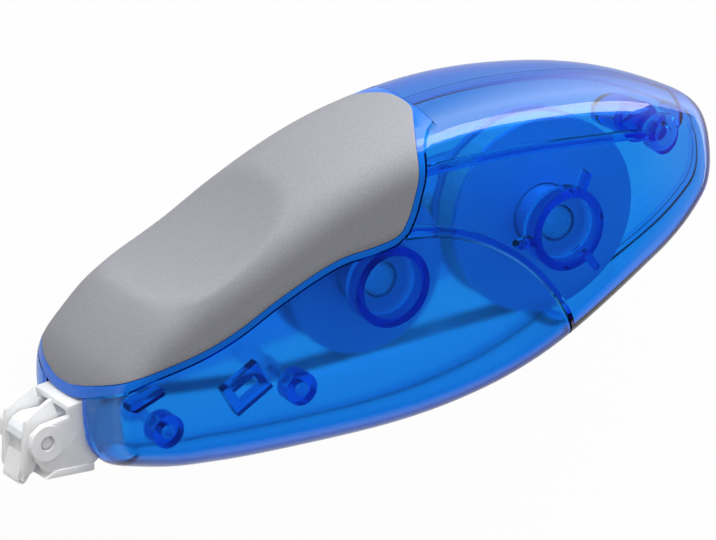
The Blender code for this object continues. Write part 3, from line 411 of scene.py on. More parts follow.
def case_half(bm, inset, foot, start=None):
    """Add the rounded left half of the case form, shrunk by an inset, and give back the ring at its foot.

    The foot is a new ring, or grown from a start ring.
    """
    def at(angle, share):
        sweep = math.radians(angle)

        def place(i):
            point = CASE_LINE[i]
            power = 2 / fullness(point.x)
            inward = 1 - max(math.cos(sweep), 0) ** power
            rise = math.sin(sweep) ** power
            depth = inset + (shoulder(point.x) - inset) * inward
            spot = point - outward(CASE_LINE, i) * depth
            low, high = (end * PLAN for end in SPINE_ENDS)
            spine = Vector((min(max(spot.x, low), high), SPINE_Y * PLAN))
            spot = spot.lerp(spine, share)
            top = half_thickness(spot.x) - inset
            return Vector((spot.x, spot.y, foot + (top - foot) * rise))
        return place

    if start:
        base = grow_ring(bm, start, at(0, 0))
    else:
        base = ring_of(bm, [at(0, 0)(i) for i in range(len(CASE_LINE))])
    ring = base
    for angle in SECTION_ANGLES:
        ring = grow_ring(bm, ring, at(angle, 0))
    for share in SIDE_SHARES:
        ring = grow_ring(bm, ring, at(90, share))
    bmesh.ops.triangle_fill(bm, use_beauty=True, edges=ring)
    return base


def on_side(bm, side):
    """A left form as it is, or turned over to the right side, with its faces outwards."""
    if side < 0:
        bmesh.ops.scale(bm, vec=(1, 1, -1), verts=bm.verts[:])
    return face_outwards(bm)


def half_shell(side):
    """One half of the hollow case, parted on the mid-plane."""
    bm = new_mesh()
    outer = case_half(bm, 0, sizes().parting / 2)
    case_half(bm, sizes().wall, sizes().parting / 2, outer)
    return on_side(bm, side)


def full_body(inset):
    """The whole case form as one solid, shrunk by an inset."""
    bm = new_mesh()
    case_half(bm, inset, 0)
    bmesh.ops.mirror(bm, geom=bm.verts[:] + bm.edges[:] + bm.faces[:], axis="Z", merge_dist=MERGE)
    bmesh.ops.remove_doubles(bm, verts=bm.verts[:], dist=MERGE)
    return face_outwards(bm)


# Simple solids and how they are put together
def extruded(points, way):
    """A flat outline extruded along a vector."""
    bm = new_mesh()
    base = bmesh.ops.contextual_create(bm, geom=ring_of(bm, points))["faces"]
    grown = bmesh.ops.extrude_face_region(bm, geom=base)
    bmesh.ops.translate(bm, verts=new_corners(grown), vec=way)
    return face_outwards(bm)


def prism(corners, low, high):
    """An outline in the plan, extruded across the thickness."""
    return extruded([(x, y, low) for x, y in corners], (0, 0, high - low))


def tube(centre, outer, bore, low, high, steps=64):
    """A round tube, or a rod where the bore is 0, across the thickness."""
    bm = new_mesh()
    rim = [(bore, low), (outer, low), (outer, high), (bore, high)]
    edges = ring_of(bm, [(centre[0] + r, centre[1], z) for r, z in rim], closed=bool(bore))
    bmesh.ops.spin(bm, geom=bm.verts[:] + edges, cent=(*centre, 0), axis=(0, 0, 1), angle=math.tau,
                   steps=steps, use_merge=True)
    bmesh.ops.remove_doubles(bm, verts=bm.verts[:], dist=MERGE)
    return face_outwards(bm)


def bar(start, end, width):
    """A straight rib with round ends between two plan points."""
    heading = math.atan2(end.y - start.y, end.x - start.x)
    corners = []
    for centre, first in ((end, heading - math.pi / 2), (start, heading + math.pi / 2)):
        for step in range(END_STEPS + 1):
            angle = first + math.pi * step / END_STEPS
            corners.append(centre + Vector((math.cos(angle), math.sin(angle))) * width / 2)
    return prism(corners, RIB_FOOT, HALF)


def link_object(name, data):
    thing = bpy.data.objects.new(name, data)
    bpy.context.scene.collection.objects.link(thing)
    return thing


def as_object(name, bm):
    """An object of a bmesh, with its corners and faces sorted, since operators leave them in any order.

    A face with four corners starts at one of the two that it was split between.
    """
    corners = sorted(bm.verts, key=lambda v: v.co.to_tuple())
    rank = {vert: i for i, vert in enumerate(corners)}
    faces = []
    for face in bm.faces:
        ring = [rank[v] for v in face.verts]
        first = ring.index(min(ring[::2] if len(ring) == 4 else ring))
        faces.append(ring[first:] + ring[:first])
    mesh = bpy.data.meshes.new(name)
    mesh.from_pydata([v.co for v in corners], [], sorted(faces))
    bm.free()
    return link_object(name, mesh)


def combine(bm, operation, *tools):
    """Boolean a bmesh with tools in turn, and give back the result as a new bmesh."""
    body = as_object("body.work", bm)
    helpers = [as_object("tool.work", tool) for tool in tools]
    for helper in helpers:
        step = body.modifiers.new("step", "BOOLEAN")
        step.operation = operation
        step.object = helper
        step.solver = "EXACT"
    bpy.context.view_layer.update()
    result = bmesh.new()
    result.from_object(body, bpy.context.evaluated_depsgraph_get())
    for thing in [body] + helpers:
        data = thing.data
        bpy.data.objects.remove(thing)
        bpy.data.meshes.remove(data)
    if not result.faces:
        raise RuntimeError("a Boolean step removed a whole piece")
    return result


def joined(bm, other):
    """Two bmeshes as one, without a Boolean step."""
    mesh = bpy.data.meshes.new("part.work")
    other.to_mesh(mesh)
    other.free()
    bm.from_mesh(mesh)
    bpy.data.meshes.remove(mesh)
    return bm


def thickened(bm, thickness):
    """Give an open sheet a thickness inwards."""
    bm.normal_update()
    inward = {v.co.to_tuple(): -v.normal for v in bm.verts}
    grown = bmesh.ops.extrude_face_region(bm, geom=bm.faces[:], use_keep_orig=True)
    for vert in new_corners(grown):
        vert.co += inward[vert.co.to_tuple()] * thickness
    return face_outwards(bm)


def rounded(bm, width):
    """Round the edges whose faces meet at a sharp angle."""
    bm.normal_update()
    edges = [e for e in bm.edges if e.is_manifold and e.calc_face_angle() > ROUND_ANGLE]
    bmesh.ops.bevel(bm, geom=edges, offset=width, offset_type="OFFSET", segments=ROUND_SEGMENTS, profile=0.5,
                    affect="EDGES", clamp_overlap=True, material=-1)
    return face_outwards(bm)


def finish_piece(name, bm, finish, body, nodes, sharp=32):
    """Put a bmesh from the drawing frame into the row frame as a piece with its finish, riding on a body."""
    bmesh.ops.translate(bm, verts=bm.verts[:], vec=MIDDLE)
    piece = as_object(name, bm)
    piece.data.shade_smooth()
    piece.data.set_sharp_from_angle(angle=math.radians(sharp))
    piece.data.materials.append(finish)
    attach(piece, body)
    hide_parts(*nodes)


# The lines that part the case
def rim_width(point):
    """Width of the carrier's rim below the grip, which grows into the visor at the front."""
    return sizes().visor + (sizes().rim - sizes().visor) * eased(point.x / PLAN, *VISOR_FADE)


def rim_lines(share, extra):
    """Plan lines below and behind the grip, at a share of the rim's width and an extra gap from the pad."""
    widths = [rim_width(p) * share + extra for p in LOW_LINE]
    below = [Vector((p.x, p.y - w)) for p, w in zip(LOW_LINE, widths)]
    front = Vector((LOW_LINE[0].x - MM, GRIP_FRONT_Y * PLAN - widths[0] * FRONT_REACH))
    behind = offset_path(REAR_LINE, [sizes().rim * share + extra] * len(REAR_LINE))
    above = behind[-1] + (behind[-1] - behind[-2]).normalized() * 2 * MM + Vector((0, FAR))
    return [Vector((-FAR, front.y)), front] + below, behind + [above]


def joint_arc(top, shift):
    """Joint of the front and rear shells: an arc from the grip's corner to the underside, moved outwards."""
    foot = Vector(JOINT_FOOT) * PLAN
    half = (foot - top) / 2
    bulge = sizes().joint_bulge
    radius = (half.length_squared + bulge ** 2) / (2 * bulge)
    centre = (top + foot) / 2 + Vector((half.y, -half.x)).normalized() * (radius - bulge)
    turn = (top - centre).angle_signed(foot - centre)
    first = math.atan2(top.y - centre.y, top.x - centre.x)
    angles = [first - turn * i / ARC_STEPS for i in range(ARC_STEPS + 1)]
    return [centre + Vector((math.cos(a), math.sin(a))) * (radius + shift) for a in angles]


def joint_top():
    """Where the joint of the shells leaves the carrier's rim."""
    seam = sizes().seam
    return rim_lines(1, seam)[0][-1] + Vector((seam, -seam / 2))


def zones():
    """Plan outlines of the front and rear shells."""
    seam = sizes().seam
    below, behind = rim_lines(1, seam)
    ahead, after = (joint_arc(joint_top(), shift) for shift in (-seam / 2, seam / 2))
    front = below + ahead + [Vector((ahead[-1].x, -FAR)), Vector((-FAR, -FAR))]
    rear = behind[::-1] + after + [Vector((after[-1].x, -FAR)), Vector((FAR, -FAR)), Vector((FAR, FAR))]
    return front, rear


def across(side, low, high):
    """Heights on one side of the parting, lower first."""
    return sorted((side * low, side * high))


# Ribs and bosses inside the shells
def reel_boss(place):
    """Ring boss inside a left shell, round a reel's axis."""
    return tube(place, BOSS_BORE + sizes().boss_wall, BOSS_BORE, BOSS_FOOT, HALF)


def plan_rib(points):
    """A rib along a smooth line in the plan."""
    line = smooth_path(flat(points), RIB_STEPS)
    edge = [RIB_WIDTH / 2] * len(line)
    return prism(offset_path(line, edge) + offset_path(line[::-1], edge), RIB_FOOT, HALF)


def box_rib(centre):
    """A hollow rectangular rib."""
    turn = Matrix.Rotation(BOX_TURN, 2)
    signs = ((-1, -1), (1, -1), (1, 1), (-1, 1))
    outer, inner = ([centre + turn @ Vector((x * wide / 2, y * high / 2)) for x, y in signs]
                    for wide, high in BOX_SIZES)
    return combine(prism(outer, RIB_FOOT, HALF), "DIFFERENCE", prism(inner, -MM, HALF + MM))


def joint_rib(side):
    """Rib inside a rear shell along its joint with the front shell."""
    near, far = (joint_arc(joint_top(), sizes().seam + width) for width in (0, sizes().joint_rib))
    return prism(near + far[::-1], *across(side, RIB_FOOT, HALF))


def shallow(ribs):
    """Ribs cut back to an even height on the inside of the wall."""
    return [combine(rib, "DIFFERENCE", full_body(sizes().wall + sizes().rib_height)) for rib in ribs]


def left_front_ribs():
    bosses = [reel_boss((JOINT["takeup_spin"] - MIDDLE).xy)]
    for guide in flat((FRONT_GUIDE, MIDDLE_GUIDE)):
        bosses.append(tube(guide, *GUIDE_RADII, GUIDE_FOOT, HALF, steps=40))
    return bosses + shallow([box_rib(Vector(BOX_RIB) * PLAN), bar(*flat(FRONT_BAR), BAR_WIDTH)])


def left_rear_ribs():
    supply = DRAWN_SUPPLY * PLAN
    bosses = [reel_boss(supply),
              tube(Vector(REAR_BOSS) * PLAN, *REAR_BOSS_RADII, REAR_BOSS_FOOT, HALF, steps=48)]
    ribs = [plan_rib(LONG_RIB), plan_rib(REAR_RIB), joint_rib(1)]
    for angle in SPOKE_ANGLES:
        out = Vector((math.cos(math.radians(angle)), math.sin(math.radians(angle))))
        start = supply + out * (BOSS_BORE + sizes().boss_wall * SPOKE_ROOT_SHARE)
        ribs.append(bar(start, start + out * SPOKE_LENGTH, SPOKE_WIDTH))
    return bosses + shallow(ribs)


def right_rear_ribs():
    spot = Vector(REAR_BOSS) * PLAN
    outer, bore = PILLAR_RADII
    pillar = tube(spot, outer, bore, -HALF, PILLAR_TOP, steps=48)
    cap = tube(spot, outer, 0, PILLAR_CAP, -sizes().seam / 2, steps=48)
    return [pillar, cap, *shallow([joint_rib(-1)])]


def rear_pin():
    """Pin of the right rear shell, which enters the left one's boss."""
    return tube(Vector(REAR_BOSS) * PLAN, REAR_PIN_RADIUS, 0, -sizes().wall, REAR_PIN_TOP, steps=40)


def rib_envelope(side):
    """Solid that ends ribs and bosses half-way through the wall."""
    bm = new_mesh()
    foot = case_half(bm, sizes().wall / 2, -sizes().seam)
    bmesh.ops.contextual_create(bm, geom=foot)
    return on_side(bm, side)


# The shells
def window():
    """Cutter for the opening round the nose."""
    corners = WINDOW_EDGE + [(y, -z) for y, z in reversed(WINDOW_EDGE)]
    return extruded([(-FAR, y * PLAN, z * PLAN) for y, z in corners], (FAR + WINDOW_END * PLAN, 0, 0))


def front_face():
    """Cutter that trims the rounded front to a flat face round the opening."""
    low, high = FRONT_FACE_LOW * PLAN, GRIP_FRONT_Y * PLAN
    line = drawn_in(CASE_LINE, sizes().front_trim)
    front = [p for p in line if p.x < FRONT_FACE_END * PLAN and low < p.y < high]
    front.sort(key=lambda p: p.y)
    return prism([Vector((-FAR, front[0].y))] + front + [Vector((-FAR, front[-1].y))], -HALF, HALF)


def seam_lip(side):
    """Locating lip inside the wall along the parting."""
    low, high = across(side, sizes().parting, sizes().lip_height)
    outside = prism(drawn_in(CASE_LINE, sizes().wall - LIP_ROOT), low, high)
    inside = prism(drawn_in(CASE_LINE, sizes().wall + sizes().lip), low - MM, high + MM)
    return combine(outside, "DIFFERENCE", inside)


def shell(side, zone, ribs, *cutters):
    """One shell: a zone of the half case without the cutters, with its ribs."""
    keep = prism(zone, -2 * HALF, 2 * HALF)
    if cutters:
        keep = combine(keep, "DIFFERENCE", *cutters)
    bm = combine(half_shell(side), "UNION", seam_lip(side))
    bm = combine(bm, "INTERSECT", keep)
    if ribs:
        trimmed = [combine(rib, "INTERSECT", rib_envelope(side)) for rib in ribs]
        bm = combine(bm, "UNION", *trimmed)
    return bm


# The grip
def grip_fullness(x):
    """Power of the grip's rounded section, which is fuller beside the finger scoop."""
    place = x / PLAN
    return fullness(x) + sizes().scoop_fullness * eased(place, *SCOOP_RISE) * (1 - eased(place, *SCOOP_FALL))


def edge_depth(spot):
    """How far a plan point lies inside the outline of the case."""
    near = EDGE_TREE.find(spot.to_3d())[1]
    count = len(CASE_LINE)
    depths = []
    for i in (near - 1, near):
        a, b = CASE_LINE[i % count], CASE_LINE[(i + 1) % count]
        run = b - a
        share = min(max((spot - a).dot(run) / run.length_squared, 0), 1)
        away = spot - a - run * share
        depths.append(away.length if away.cross(run) <= 0 else -away.length)
    return min(depths, key=abs)


def body_height(spot, inset):
    """Height of the grip's left surface over a plan point, for the form shrunk by an inset."""
    depth = edge_depth(spot) - inset
    if depth <= 0:
        return 0.0
    top = half_thickness(spot.x) - inset
    fall = max(1 - depth / (shoulder(spot.x) - inset), 0)
    power = grip_fullness(spot.x)
    return top * (1 - fall ** power) ** (1 / power)


def scooped(x, y, z, inset):
    """Lower a point of the grip's top to the finger scoop, with a soft edge where they meet."""
    low = Vector(SCOOP_LOW) * PLAN
    soft = sizes().scoop_edge
    floor = low.y + (x - low.x) ** 2 / (2 * sizes().scoop_radius) - z * z / (2 * sizes().scoop_crown) - inset
    if x < low.x - 2 * soft:
        return y
    mix = max(soft - abs(y - floor), 0) / soft
    return min(y, floor) - mix * mix * soft / 4


def along(path, share):
    """Point at a share of a path's steps."""
    spot = share * (len(path) - 1)
    i = min(int(spot), len(path) - 2)
    return path[i].lerp(path[i + 1], spot - i)


def crown_line(inset):
    """The case's outline over the grip, from the front to the rear, moved in by an inset."""
    crown = CASE_LINE[len(CASE_LINE) // 2:] + CASE_LINE[:1]
    crown.reverse()
    front, rear = GRIP_FRONT_Y * PLAN, GRIP_REAR[-1][0] * PLAN
    first = next(i for i, p in enumerate(crown) if p.y > front)
    last = next(i for i, p in enumerate(crown) if p.x > rear)
    rise = (front - crown[first - 1].y) / (crown[first].y - crown[first - 1].y)
    run = (rear - crown[last - 1].x) / (crown[last].x - crown[last - 1].x)
    ends = [crown[i - 1].lerp(crown[i], share) for i, share in ((first, rise), (last, run))]
    crown = even_path(ends[:1] + crown[first:last] + ends[1:], CROWN_POINTS)
    return offset_path(crown, [inset] * len(crown))


def grip_surface(inset, start=0.0, spread=0.0):
    """Open sheet of the grip's form, shrunk by an inset, in sections from the front to the rear.

    A spread carries the sheet on below and behind the grip.
    """
    crown = crown_line(inset)
    rows, columns = sizes().grip_rows, sizes().grip_columns

    def section(row):
        share = start + (1 - start) * row / (rows - 1)
        rear = share ** REAR_PACE
        top, low = along(crown, share ** CROWN_PACE), along(LOW_LINE, share) - Vector((0, spread))
        points = []
        for column in range(columns):
            step = (column / (columns - 1)) ** EDGE_PACE
            bow = along(REAR_LINE[::-1], step) - REAR_LINE[-1].lerp(REAR_LINE[0], step)
            spot = top.lerp(low, step) + (bow + Vector((spread, 0))) * rear
            z = body_height(spot, inset) if column else 0.0
            points.append(Vector((spot.x, scooped(spot.x, spot.y, z, inset), z)))
        return points[::-1] + [Vector((p.x, p.y, -p.z)) for p in points[1:]]

    bm = new_mesh()
    chain = ring_of(bm, section(0), closed=False)
    for row in range(1, rows):
        chain = grow_ring(bm, chain, section(row).__getitem__)
    bmesh.ops.remove_doubles(bm, verts=bm.verts[:], dist=GRIP_MERGE)
    face_outwards(bm)
    top = max(bm.faces, key=lambda f: f.calc_center_median().y)
    if top.normal.y < 0:
        bmesh.ops.reverse_faces(bm, faces=bm.faces[:])
    return bm


def carrier_rim():
    """Rim of the carrier that shows below and behind the grip, with the visor over the nose."""
    outer, inner = rim_lines(1, 0), rim_lines(0, sizes().seam / 2)
    band = prism(outer[0] + outer[1] + inner[1][::-1] + inner[0][::-1], -2 * HALF, 2 * HALF)
    core = full_body(sizes().pad + sizes().seam + sizes().saddle / 2)
    return combine(combine(band, "INTERSECT", full_body(0)), "DIFFERENCE", core)


# The nose and the tip
def both_sides(corners, low, high, width):
    """A rounded plate on each side of the parting, the left one first."""
    return [rounded(prism(corners, *across(side, low, high)), width) for side in (1, -1)]


def skid_plan():
    """Slab under the fork's lower edge, slanted at its front."""
    front, rear = flat(FORK_PLAN[:2])
    run = (rear - front).normalized()
    up = Vector((-run.y, run.x))
    low, high = up * (sizes().skid - SKID_ROOT), up * SKID_ROOT
    nose = front - run * SKID_LEAD
    return [nose - low, rear - low, rear + high, nose + high + run * SKID_SLANT]


def blade_plan(pivot):
    """Wedge from the hub to the working edge."""
    edge = Vector(TIP_EDGE) * PLAN - pivot
    side = Vector((-edge.y, edge.x)).normalized()
    root = pivot + edge.normalized() * sizes().hub_radius / 2
    end = pivot + edge
    thick, thin = side * BLADE_ROOT, side * BLADE_EDGE
    return [root - thick, end - thin, end + thin, root + thick]


def pin_hole(pivot, reach):
    """Cutter for the hole round the pin."""
    return tube(pivot, sizes().pin_radius + sizes().running_gap, 0, -2 * reach, 2 * reach, steps=40)


def nose_block(pivot):
    """Clear holder: fork arms with a raised eye round the pin, web, film bar, skid, bridge and gussets."""
    size = sizes()
    inner, outer = size.fork_inner, size.fork_outer
    middle = (inner + outer) / 2
    eye = outer + size.seam
    left, right = both_sides(flat(FORK_PLAN), inner, outer, size.nose_round)
    extras = [left,
              prism(flat(WEB_PLAN), WEB_LOW, middle),
              tube(Vector(FILM_BAR) * PLAN, FILM_BAR_RADIUS, 0, -middle, middle, steps=24),
              rounded(prism(skid_plan(), -eye, eye), size.nose_round * SLAB_ROUND),
              rounded(prism(flat(BRIDGE_PLAN), -outer, outer), size.nose_round * SLAB_ROUND)]
    for side in (1, -1):
        extras.append(prism(flat(GUSSET_PLAN), *across(side, inner, outer)))
        extras.append(tube(pivot, size.hub_radius * EYE_SHARE, 0, *across(side, middle, eye), steps=48))
    return combine(combine(right, "UNION", *extras), "DIFFERENCE", pin_hole(pivot, outer))


def tip_head(pivot):
    """Clear tip: two cheeks, the hub and the blade with its working edge."""
    size = sizes()
    inner, outer = size.cheek_inner, size.cheek_outer
    middle = (inner + outer) / 2
    left, right = both_sides(flat(CHEEK_PLAN), inner, outer, size.nose_round * CHEEK_ROUND)
    hub = tube(pivot, size.hub_radius, 0, -middle, middle, steps=48)
    tip = combine(right, "UNION", left, hub, prism(blade_plan(pivot), -middle, middle))
    return combine(tip, "DIFFERENCE", pin_hole(pivot, outer))


# Finishes
PLASTIC_IOR = 1.49
FROST_IOR = 1.22
CARRIER_CLEARNESS = 0.35
RUBBER_SHINE = 0.35
RUBBER_GRAIN = 0.06 * MM
MOULD_GRAIN = 0.02 * MM


def give(tree, socket, value):
    """Link a socket to another one, or set its plain value."""
    if isinstance(value, bpy.types.NodeSocket):
        tree.links.new(value, socket)
    else:
        socket.default_value = value


def node(tree, kind, inputs=(), **settings):
    """A node with its settings, and with inputs by name or number."""
    made = tree.nodes.new(kind)
    for key, value in settings.items():
        setattr(made, key, value)
    for key, value in dict(inputs).items():
        give(tree, made.inputs[key], value)
    return made


def mottle_group():
    """Node group of soft drift and fine grain on Object coordinates."""
    name = "Mottle and grain"
    if name in bpy.data.node_groups:
        return bpy.data.node_groups[name]
    group = bpy.data.node_groups.new(name, "ShaderNodeTree")
    for in_out, labels in (("INPUT", ("Drift scale", "Grain scale")), ("OUTPUT", ("Drift", "Grain"))):
        for label in labels:
            group.interface.new_socket(label, in_out=in_out, socket_type="NodeSocketFloat")
    source = group.nodes.new("NodeGroupInput")
    target = group.nodes.new("NodeGroupOutput")
    place = group.nodes.new("ShaderNodeTexCoord").outputs["Object"]
    for label, detail, roughness in (("Drift", 3.0, 0.5), ("Grain", 6.0, 0.62)):
        noise = node(group, "ShaderNodeTexNoise", {"Vector": place, "Scale": source.outputs[f"{label} scale"],
                                                   "Detail": detail, "Roughness": roughness})
        group.links.new(noise.outputs["Fac"], target.inputs[label])
    return group


def new_material(name, drift_scale, grain_scale):
    """A material and its node tree, with drift and grain values at its own scales."""
    material = bpy.data.materials.new(name)
    material.use_nodes = True
    tree = material.node_tree
    scales = {"Drift scale": drift_scale, "Grain scale": grain_scale}
    mottle = node(tree, "ShaderNodeGroup", scales, node_tree=mottle_group())
    return material, tree, mottle.outputs["Drift"], mottle.outputs["Grain"]


def set_finish(tree, inputs):
    """Give the main shader its inputs by name."""
    for name, value in inputs.items():
        give(tree, tree.nodes["Principled BSDF"].inputs[name], value)


def ramp(tree, source, low, high, start=0.3, end=0.7):
    """Map a value between two numbers."""
    ends = {"From Min": start, "From Max": end, "To Min": low, "To Max": high}
    return node(tree, "ShaderNodeMapRange", {"Value": source, **ends}).outputs["Result"]


def around(tree, source, value, spread):
    """A value that a source takes a share lower and higher."""
    return ramp(tree, source, value * (1 - spread), value * (1 + spread))


def shade(tree, source, colour, spread, start=0.3, end=0.7):
    """A colour that drifts by a share darker and lighter with a value."""
    dark = (*[c * (1 - spread) for c in colour], 1)
    light = (*[min(c * (1 + spread), 1) for c in colour], 1)
    share = ramp(tree, source, 0.0, 1.0, start, end)
    return node(tree, "ShaderNodeMix", {"Factor": share, 6: dark, 7: light}, data_type="RGBA").outputs[2]


def choice(tree, factor, first, second):
    """A value that goes from a first to a second with a factor."""
    return node(tree, "ShaderNodeMix", {"Factor": factor, 2: first, 3: second}, data_type="FLOAT").outputs[0]


def bump(tree, source, distance, strength):
    """Normals with a fine relief."""
    relief = {"Height": source, "Distance": distance, "Strength": strength}
    return node(tree, "ShaderNodeBump", relief).outputs["Normal"]


def tinted_plastic(name, inner_roughness):
    """Clear tinted plastic with a polished outside; its inside may be frosted."""
    material, tree, drift, grain = new_material(name, drift_scale=60.0, grain_scale=900.0)
    inside = tree.nodes.new("ShaderNodeNewGeometry").outputs["Backfacing"]
    polished = ramp(tree, grain, low=0.03, high=0.06)
    frosted = around(tree, grain, inner_roughness, spread=0.1)
    set_finish(tree, {"Base Color": shade(tree, drift, colours().shell_surface, spread=0.015),
                      "Roughness": choice(tree, inside, polished, frosted),
                      "Transmission Weight": 1.0,
                      "IOR": PLASTIC_IOR})
    tint = {"Color": (*colours().shell, 1), "Density": colours().shell_depth}
    absorb = node(tree, "ShaderNodeVolumeAbsorption", tint)
    tree.links.new(absorb.outputs["Volume"], tree.nodes["Material Output"].inputs["Volume"])
    return material


def blue_plastic(name):
    """Denser blue plastic that only some light passes through."""
    material, tree, drift, grain = new_material(name, drift_scale=80.0, grain_scale=1200.0)
    set_finish(tree, {"Base Color": shade(tree, drift, colours().carrier, spread=0.05),
                      "Roughness": ramp(tree, grain, low=0.07, high=0.12),
                      "Transmission Weight": CARRIER_CLEARNESS,
                      "IOR": PLASTIC_IOR})
    return material


def soft_rubber(name):
    """Matt grey rubber with a fine moulded grain."""
    material, tree, drift, grain = new_material(name, drift_scale=90.0, grain_scale=4200.0)
    set_finish(tree, {"Base Color": shade(tree, grain, colours().rubber, spread=0.10, start=0.35, end=0.65),
                      "Roughness": ramp(tree, drift, low=0.56, high=0.66),
                      "Specular IOR Level": RUBBER_SHINE,
                      "Normal": bump(tree, grain, RUBBER_GRAIN, strength=0.5)})
    return material


def frosted_clear(name, colour, roughness, clear):
    """Thin clear plastic with a light frosting, which bends light only a little."""
    material, tree, drift, grain = new_material(name, drift_scale=150.0, grain_scale=2500.0)
    set_finish(tree, {"Base Color": shade(tree, drift, colour, spread=0.015),
                      "Roughness": around(tree, grain, roughness, spread=0.2),
                      "Transmission Weight": clear,
                      "IOR": FROST_IOR})
    return material


def satin_plastic(name, colour, roughness, spread=0.05, drift_scale=110.0):
    """Moulded satin plastic with a faint flow in its colour."""
    material, tree, drift, grain = new_material(name, drift_scale, grain_scale=2600.0)
    set_finish(tree, {"Base Color": shade(tree, drift, colour, spread),
                      "Roughness": around(tree, grain, roughness, spread=0.15),
                      "Normal": bump(tree, grain, MOULD_GRAIN, strength=0.3)})
    return material


def dress(node_names, material):
    """Give carried-over nodes of the frame a finish."""
    for name in node_names:
        slots = frame["nodes"][name].data.materials
        slots.clear()
        slots.append(material)


# The stage: the photograph's view, and light from a softbox, a lamp and the surroundings
PHOTO_WIDTH_PIXELS = 716
PIXELS_PER_MM = 7.0
SIDE_SHIFT_PIXELS = -32
FRAME_WIDTH = PHOTO_WIDTH_PIXELS / PIXELS_PER_MM * MM
CENTRE_SHIFT = SIDE_SHIFT_PIXELS / PIXELS_PER_MM * MM
IMAGE_RIGHT = Vector((0.8497, -0.1710, 0.4987))
IMAGE_UP = Vector((0.3596, 0.8797, -0.3110))
TO_CAMERA = Vector((-0.3855, 0.4436, 0.8090))
CAMERA_DISTANCE = 3.0
SENSOR_WIDTH = 36
CLIP_END = 20
KEY_WAY = Vector((0.62, 0.75, 0.17)).normalized()
KEY_SIZE = (0.9, 0.26)
KEY_POWER = 5.6
OVER_WAY = Vector((-0.2, 0.9, 0.34)).normalized()
OVER_SIZE = (0.4, 0.4)
OVER_POWER = 2.0
LAMP_DISTANCE = 0.6
FLOOR_GAP = 0.2 * MM
FLOOR_SIZE = 3.0
FLOOR_WHITE = (0.9, 0.9, 0.9, 1)
FLOOR_ROUGHNESS = 0.9
FLOOR_GLOW = 0.97
# Painted light that mirrors see in the floor: levels and reaches of a painted shadow near the case and a
# painted pool of light further towards the softbox
MIRRORED_PAINTED_LIGHT_LEVELS = (-0.35, 2.6)
MIRRORED_PAINTED_LIGHT_REACH = (0.045, 0.075)
FILL_LEVEL = 0.43
CEILING_LEVELS = (1.0, 0.07)
CEILING_HEIGHTS = (0.25, 0.55)


def maths(tree, operation, *values):
    """Result of a Math node."""
    return node(tree, "ShaderNodeMath", enumerate(values), operation=operation).outputs[0]


def background_ray(tree):
    """1 for rays that show the background: camera, glossy and transmission rays."""
    ray = tree.nodes.new("ShaderNodeLightPath").outputs
    direct = maths(tree, "MAXIMUM", ray["Is Camera Ray"], ray["Is Glossy Ray"])
    return maths(tree, "MAXIMUM", direct, ray["Is Transmission Ray"])


def mirror_ray(tree):
    """1 for rays that a glossy surface mirrors and 0 for rays that pass through one."""
    ray = tree.nodes.new("ShaderNodeLightPath").outputs
    return maths(tree, "GREATER_THAN", ray["Is Glossy Ray"], ray["Is Transmission Ray"])


def white_floor():
    """Matt white that shows the background as white, and that mirrors see with painted light: a painted
    shadow near the case and a painted pool of light towards the softbox.
    """
    material = bpy.data.materials.new("White floor")
    material.use_nodes = True
    tree = material.node_tree
    set_finish(tree, {"Base Color": FLOOR_WHITE, "Roughness": FLOOR_ROUGHNESS, "Specular IOR Level": 0.0})
    place = tree.nodes.new("ShaderNodeTexCoord").outputs["Object"]
    way = KEY_WAY.xy.normalized().to_3d()
    toward = node(tree, "ShaderNodeVectorMath", {0: place, 1: way}, operation="DOT_PRODUCT").outputs["Value"]
    # Painted light for mirrored rays: the floor glows dimmer near the case as a painted shadow, and brighter
    # towards the softbox as a painted pool of light
    painted_mirror_light = maths(tree, "MULTIPLY_ADD", mirror_ray(tree), ramp(tree, toward, *MIRRORED_PAINTED_LIGHT_LEVELS, *MIRRORED_PAINTED_LIGHT_REACH), 1.0)
    glow = node(tree, "ShaderNodeEmission", {"Strength": painted_mirror_light}).outputs["Emission"]
    matt = tree.nodes["Principled BSDF"].outputs["BSDF"]
    share = ramp(tree, background_ray(tree), low=0.0, high=FLOOR_GLOW, start=0.0, end=1.0)
    mix = node(tree, "ShaderNodeMixShader", {"Fac": share, 1: matt, 2: glow})
    tree.links.new(mix.outputs["Shader"], tree.nodes["Material Output"].inputs["Surface"])
    return material


def make_floor():
    bm = bmesh.new()
    bmesh.ops.create_grid(bm, x_segments=2, y_segments=2, size=FLOOR_SIZE)
    bmesh.ops.translate(bm, verts=bm.verts[:], vec=(0, 0, CAD_BOX[0][2] - FLOOR_GAP))
    floor = as_object("floor", bm)
    floor.data.materials.append(white_floor())


def make_world():
    """White surroundings, an even fill for matt surfaces, and a dim ceiling that glossy surfaces mirror."""
    world = bpy.data.worlds.new("Studio")
    bpy.context.scene.world = world
    world.use_nodes = True
    tree = world.node_tree
    place = tree.nodes.new("ShaderNodeTexCoord").outputs["Generated"]
    height = node(tree, "ShaderNodeSeparateXYZ", {"Vector": place}).outputs["Z"]
    ceiling = ramp(tree, height, *CEILING_LEVELS, *CEILING_HEIGHTS)
    level = choice(tree, background_ray(tree), FILL_LEVEL, 1.0)
    back = tree.nodes["Background"].inputs
    give(tree, back["Color"], (1, 1, 1, 1))
    give(tree, back["Strength"], choice(tree, mirror_ray(tree), level, ceiling))


def add_lamp(name, way, size, power):
    """A soft area lamp that faces the middle of the case."""
    data = bpy.data.lights.new(name, "AREA")
    data.shape = "RECTANGLE"
    data.size, data.size_y = size
    data.energy = power
    lamp = link_object(name, data)
    lamp.location = MIDDLE + way * LAMP_DISTANCE
    lamp.rotation_euler = way.to_track_quat("Z", "Y").to_euler()
    return lamp


def make_lights():
    """A wide softbox low behind the case, which the rear shoulder mirrors, and a lamp over the grip."""
    add_lamp("key", KEY_WAY, KEY_SIZE, KEY_POWER)
    add_lamp("over grip", OVER_WAY, OVER_SIZE, OVER_POWER).visible_glossy = False


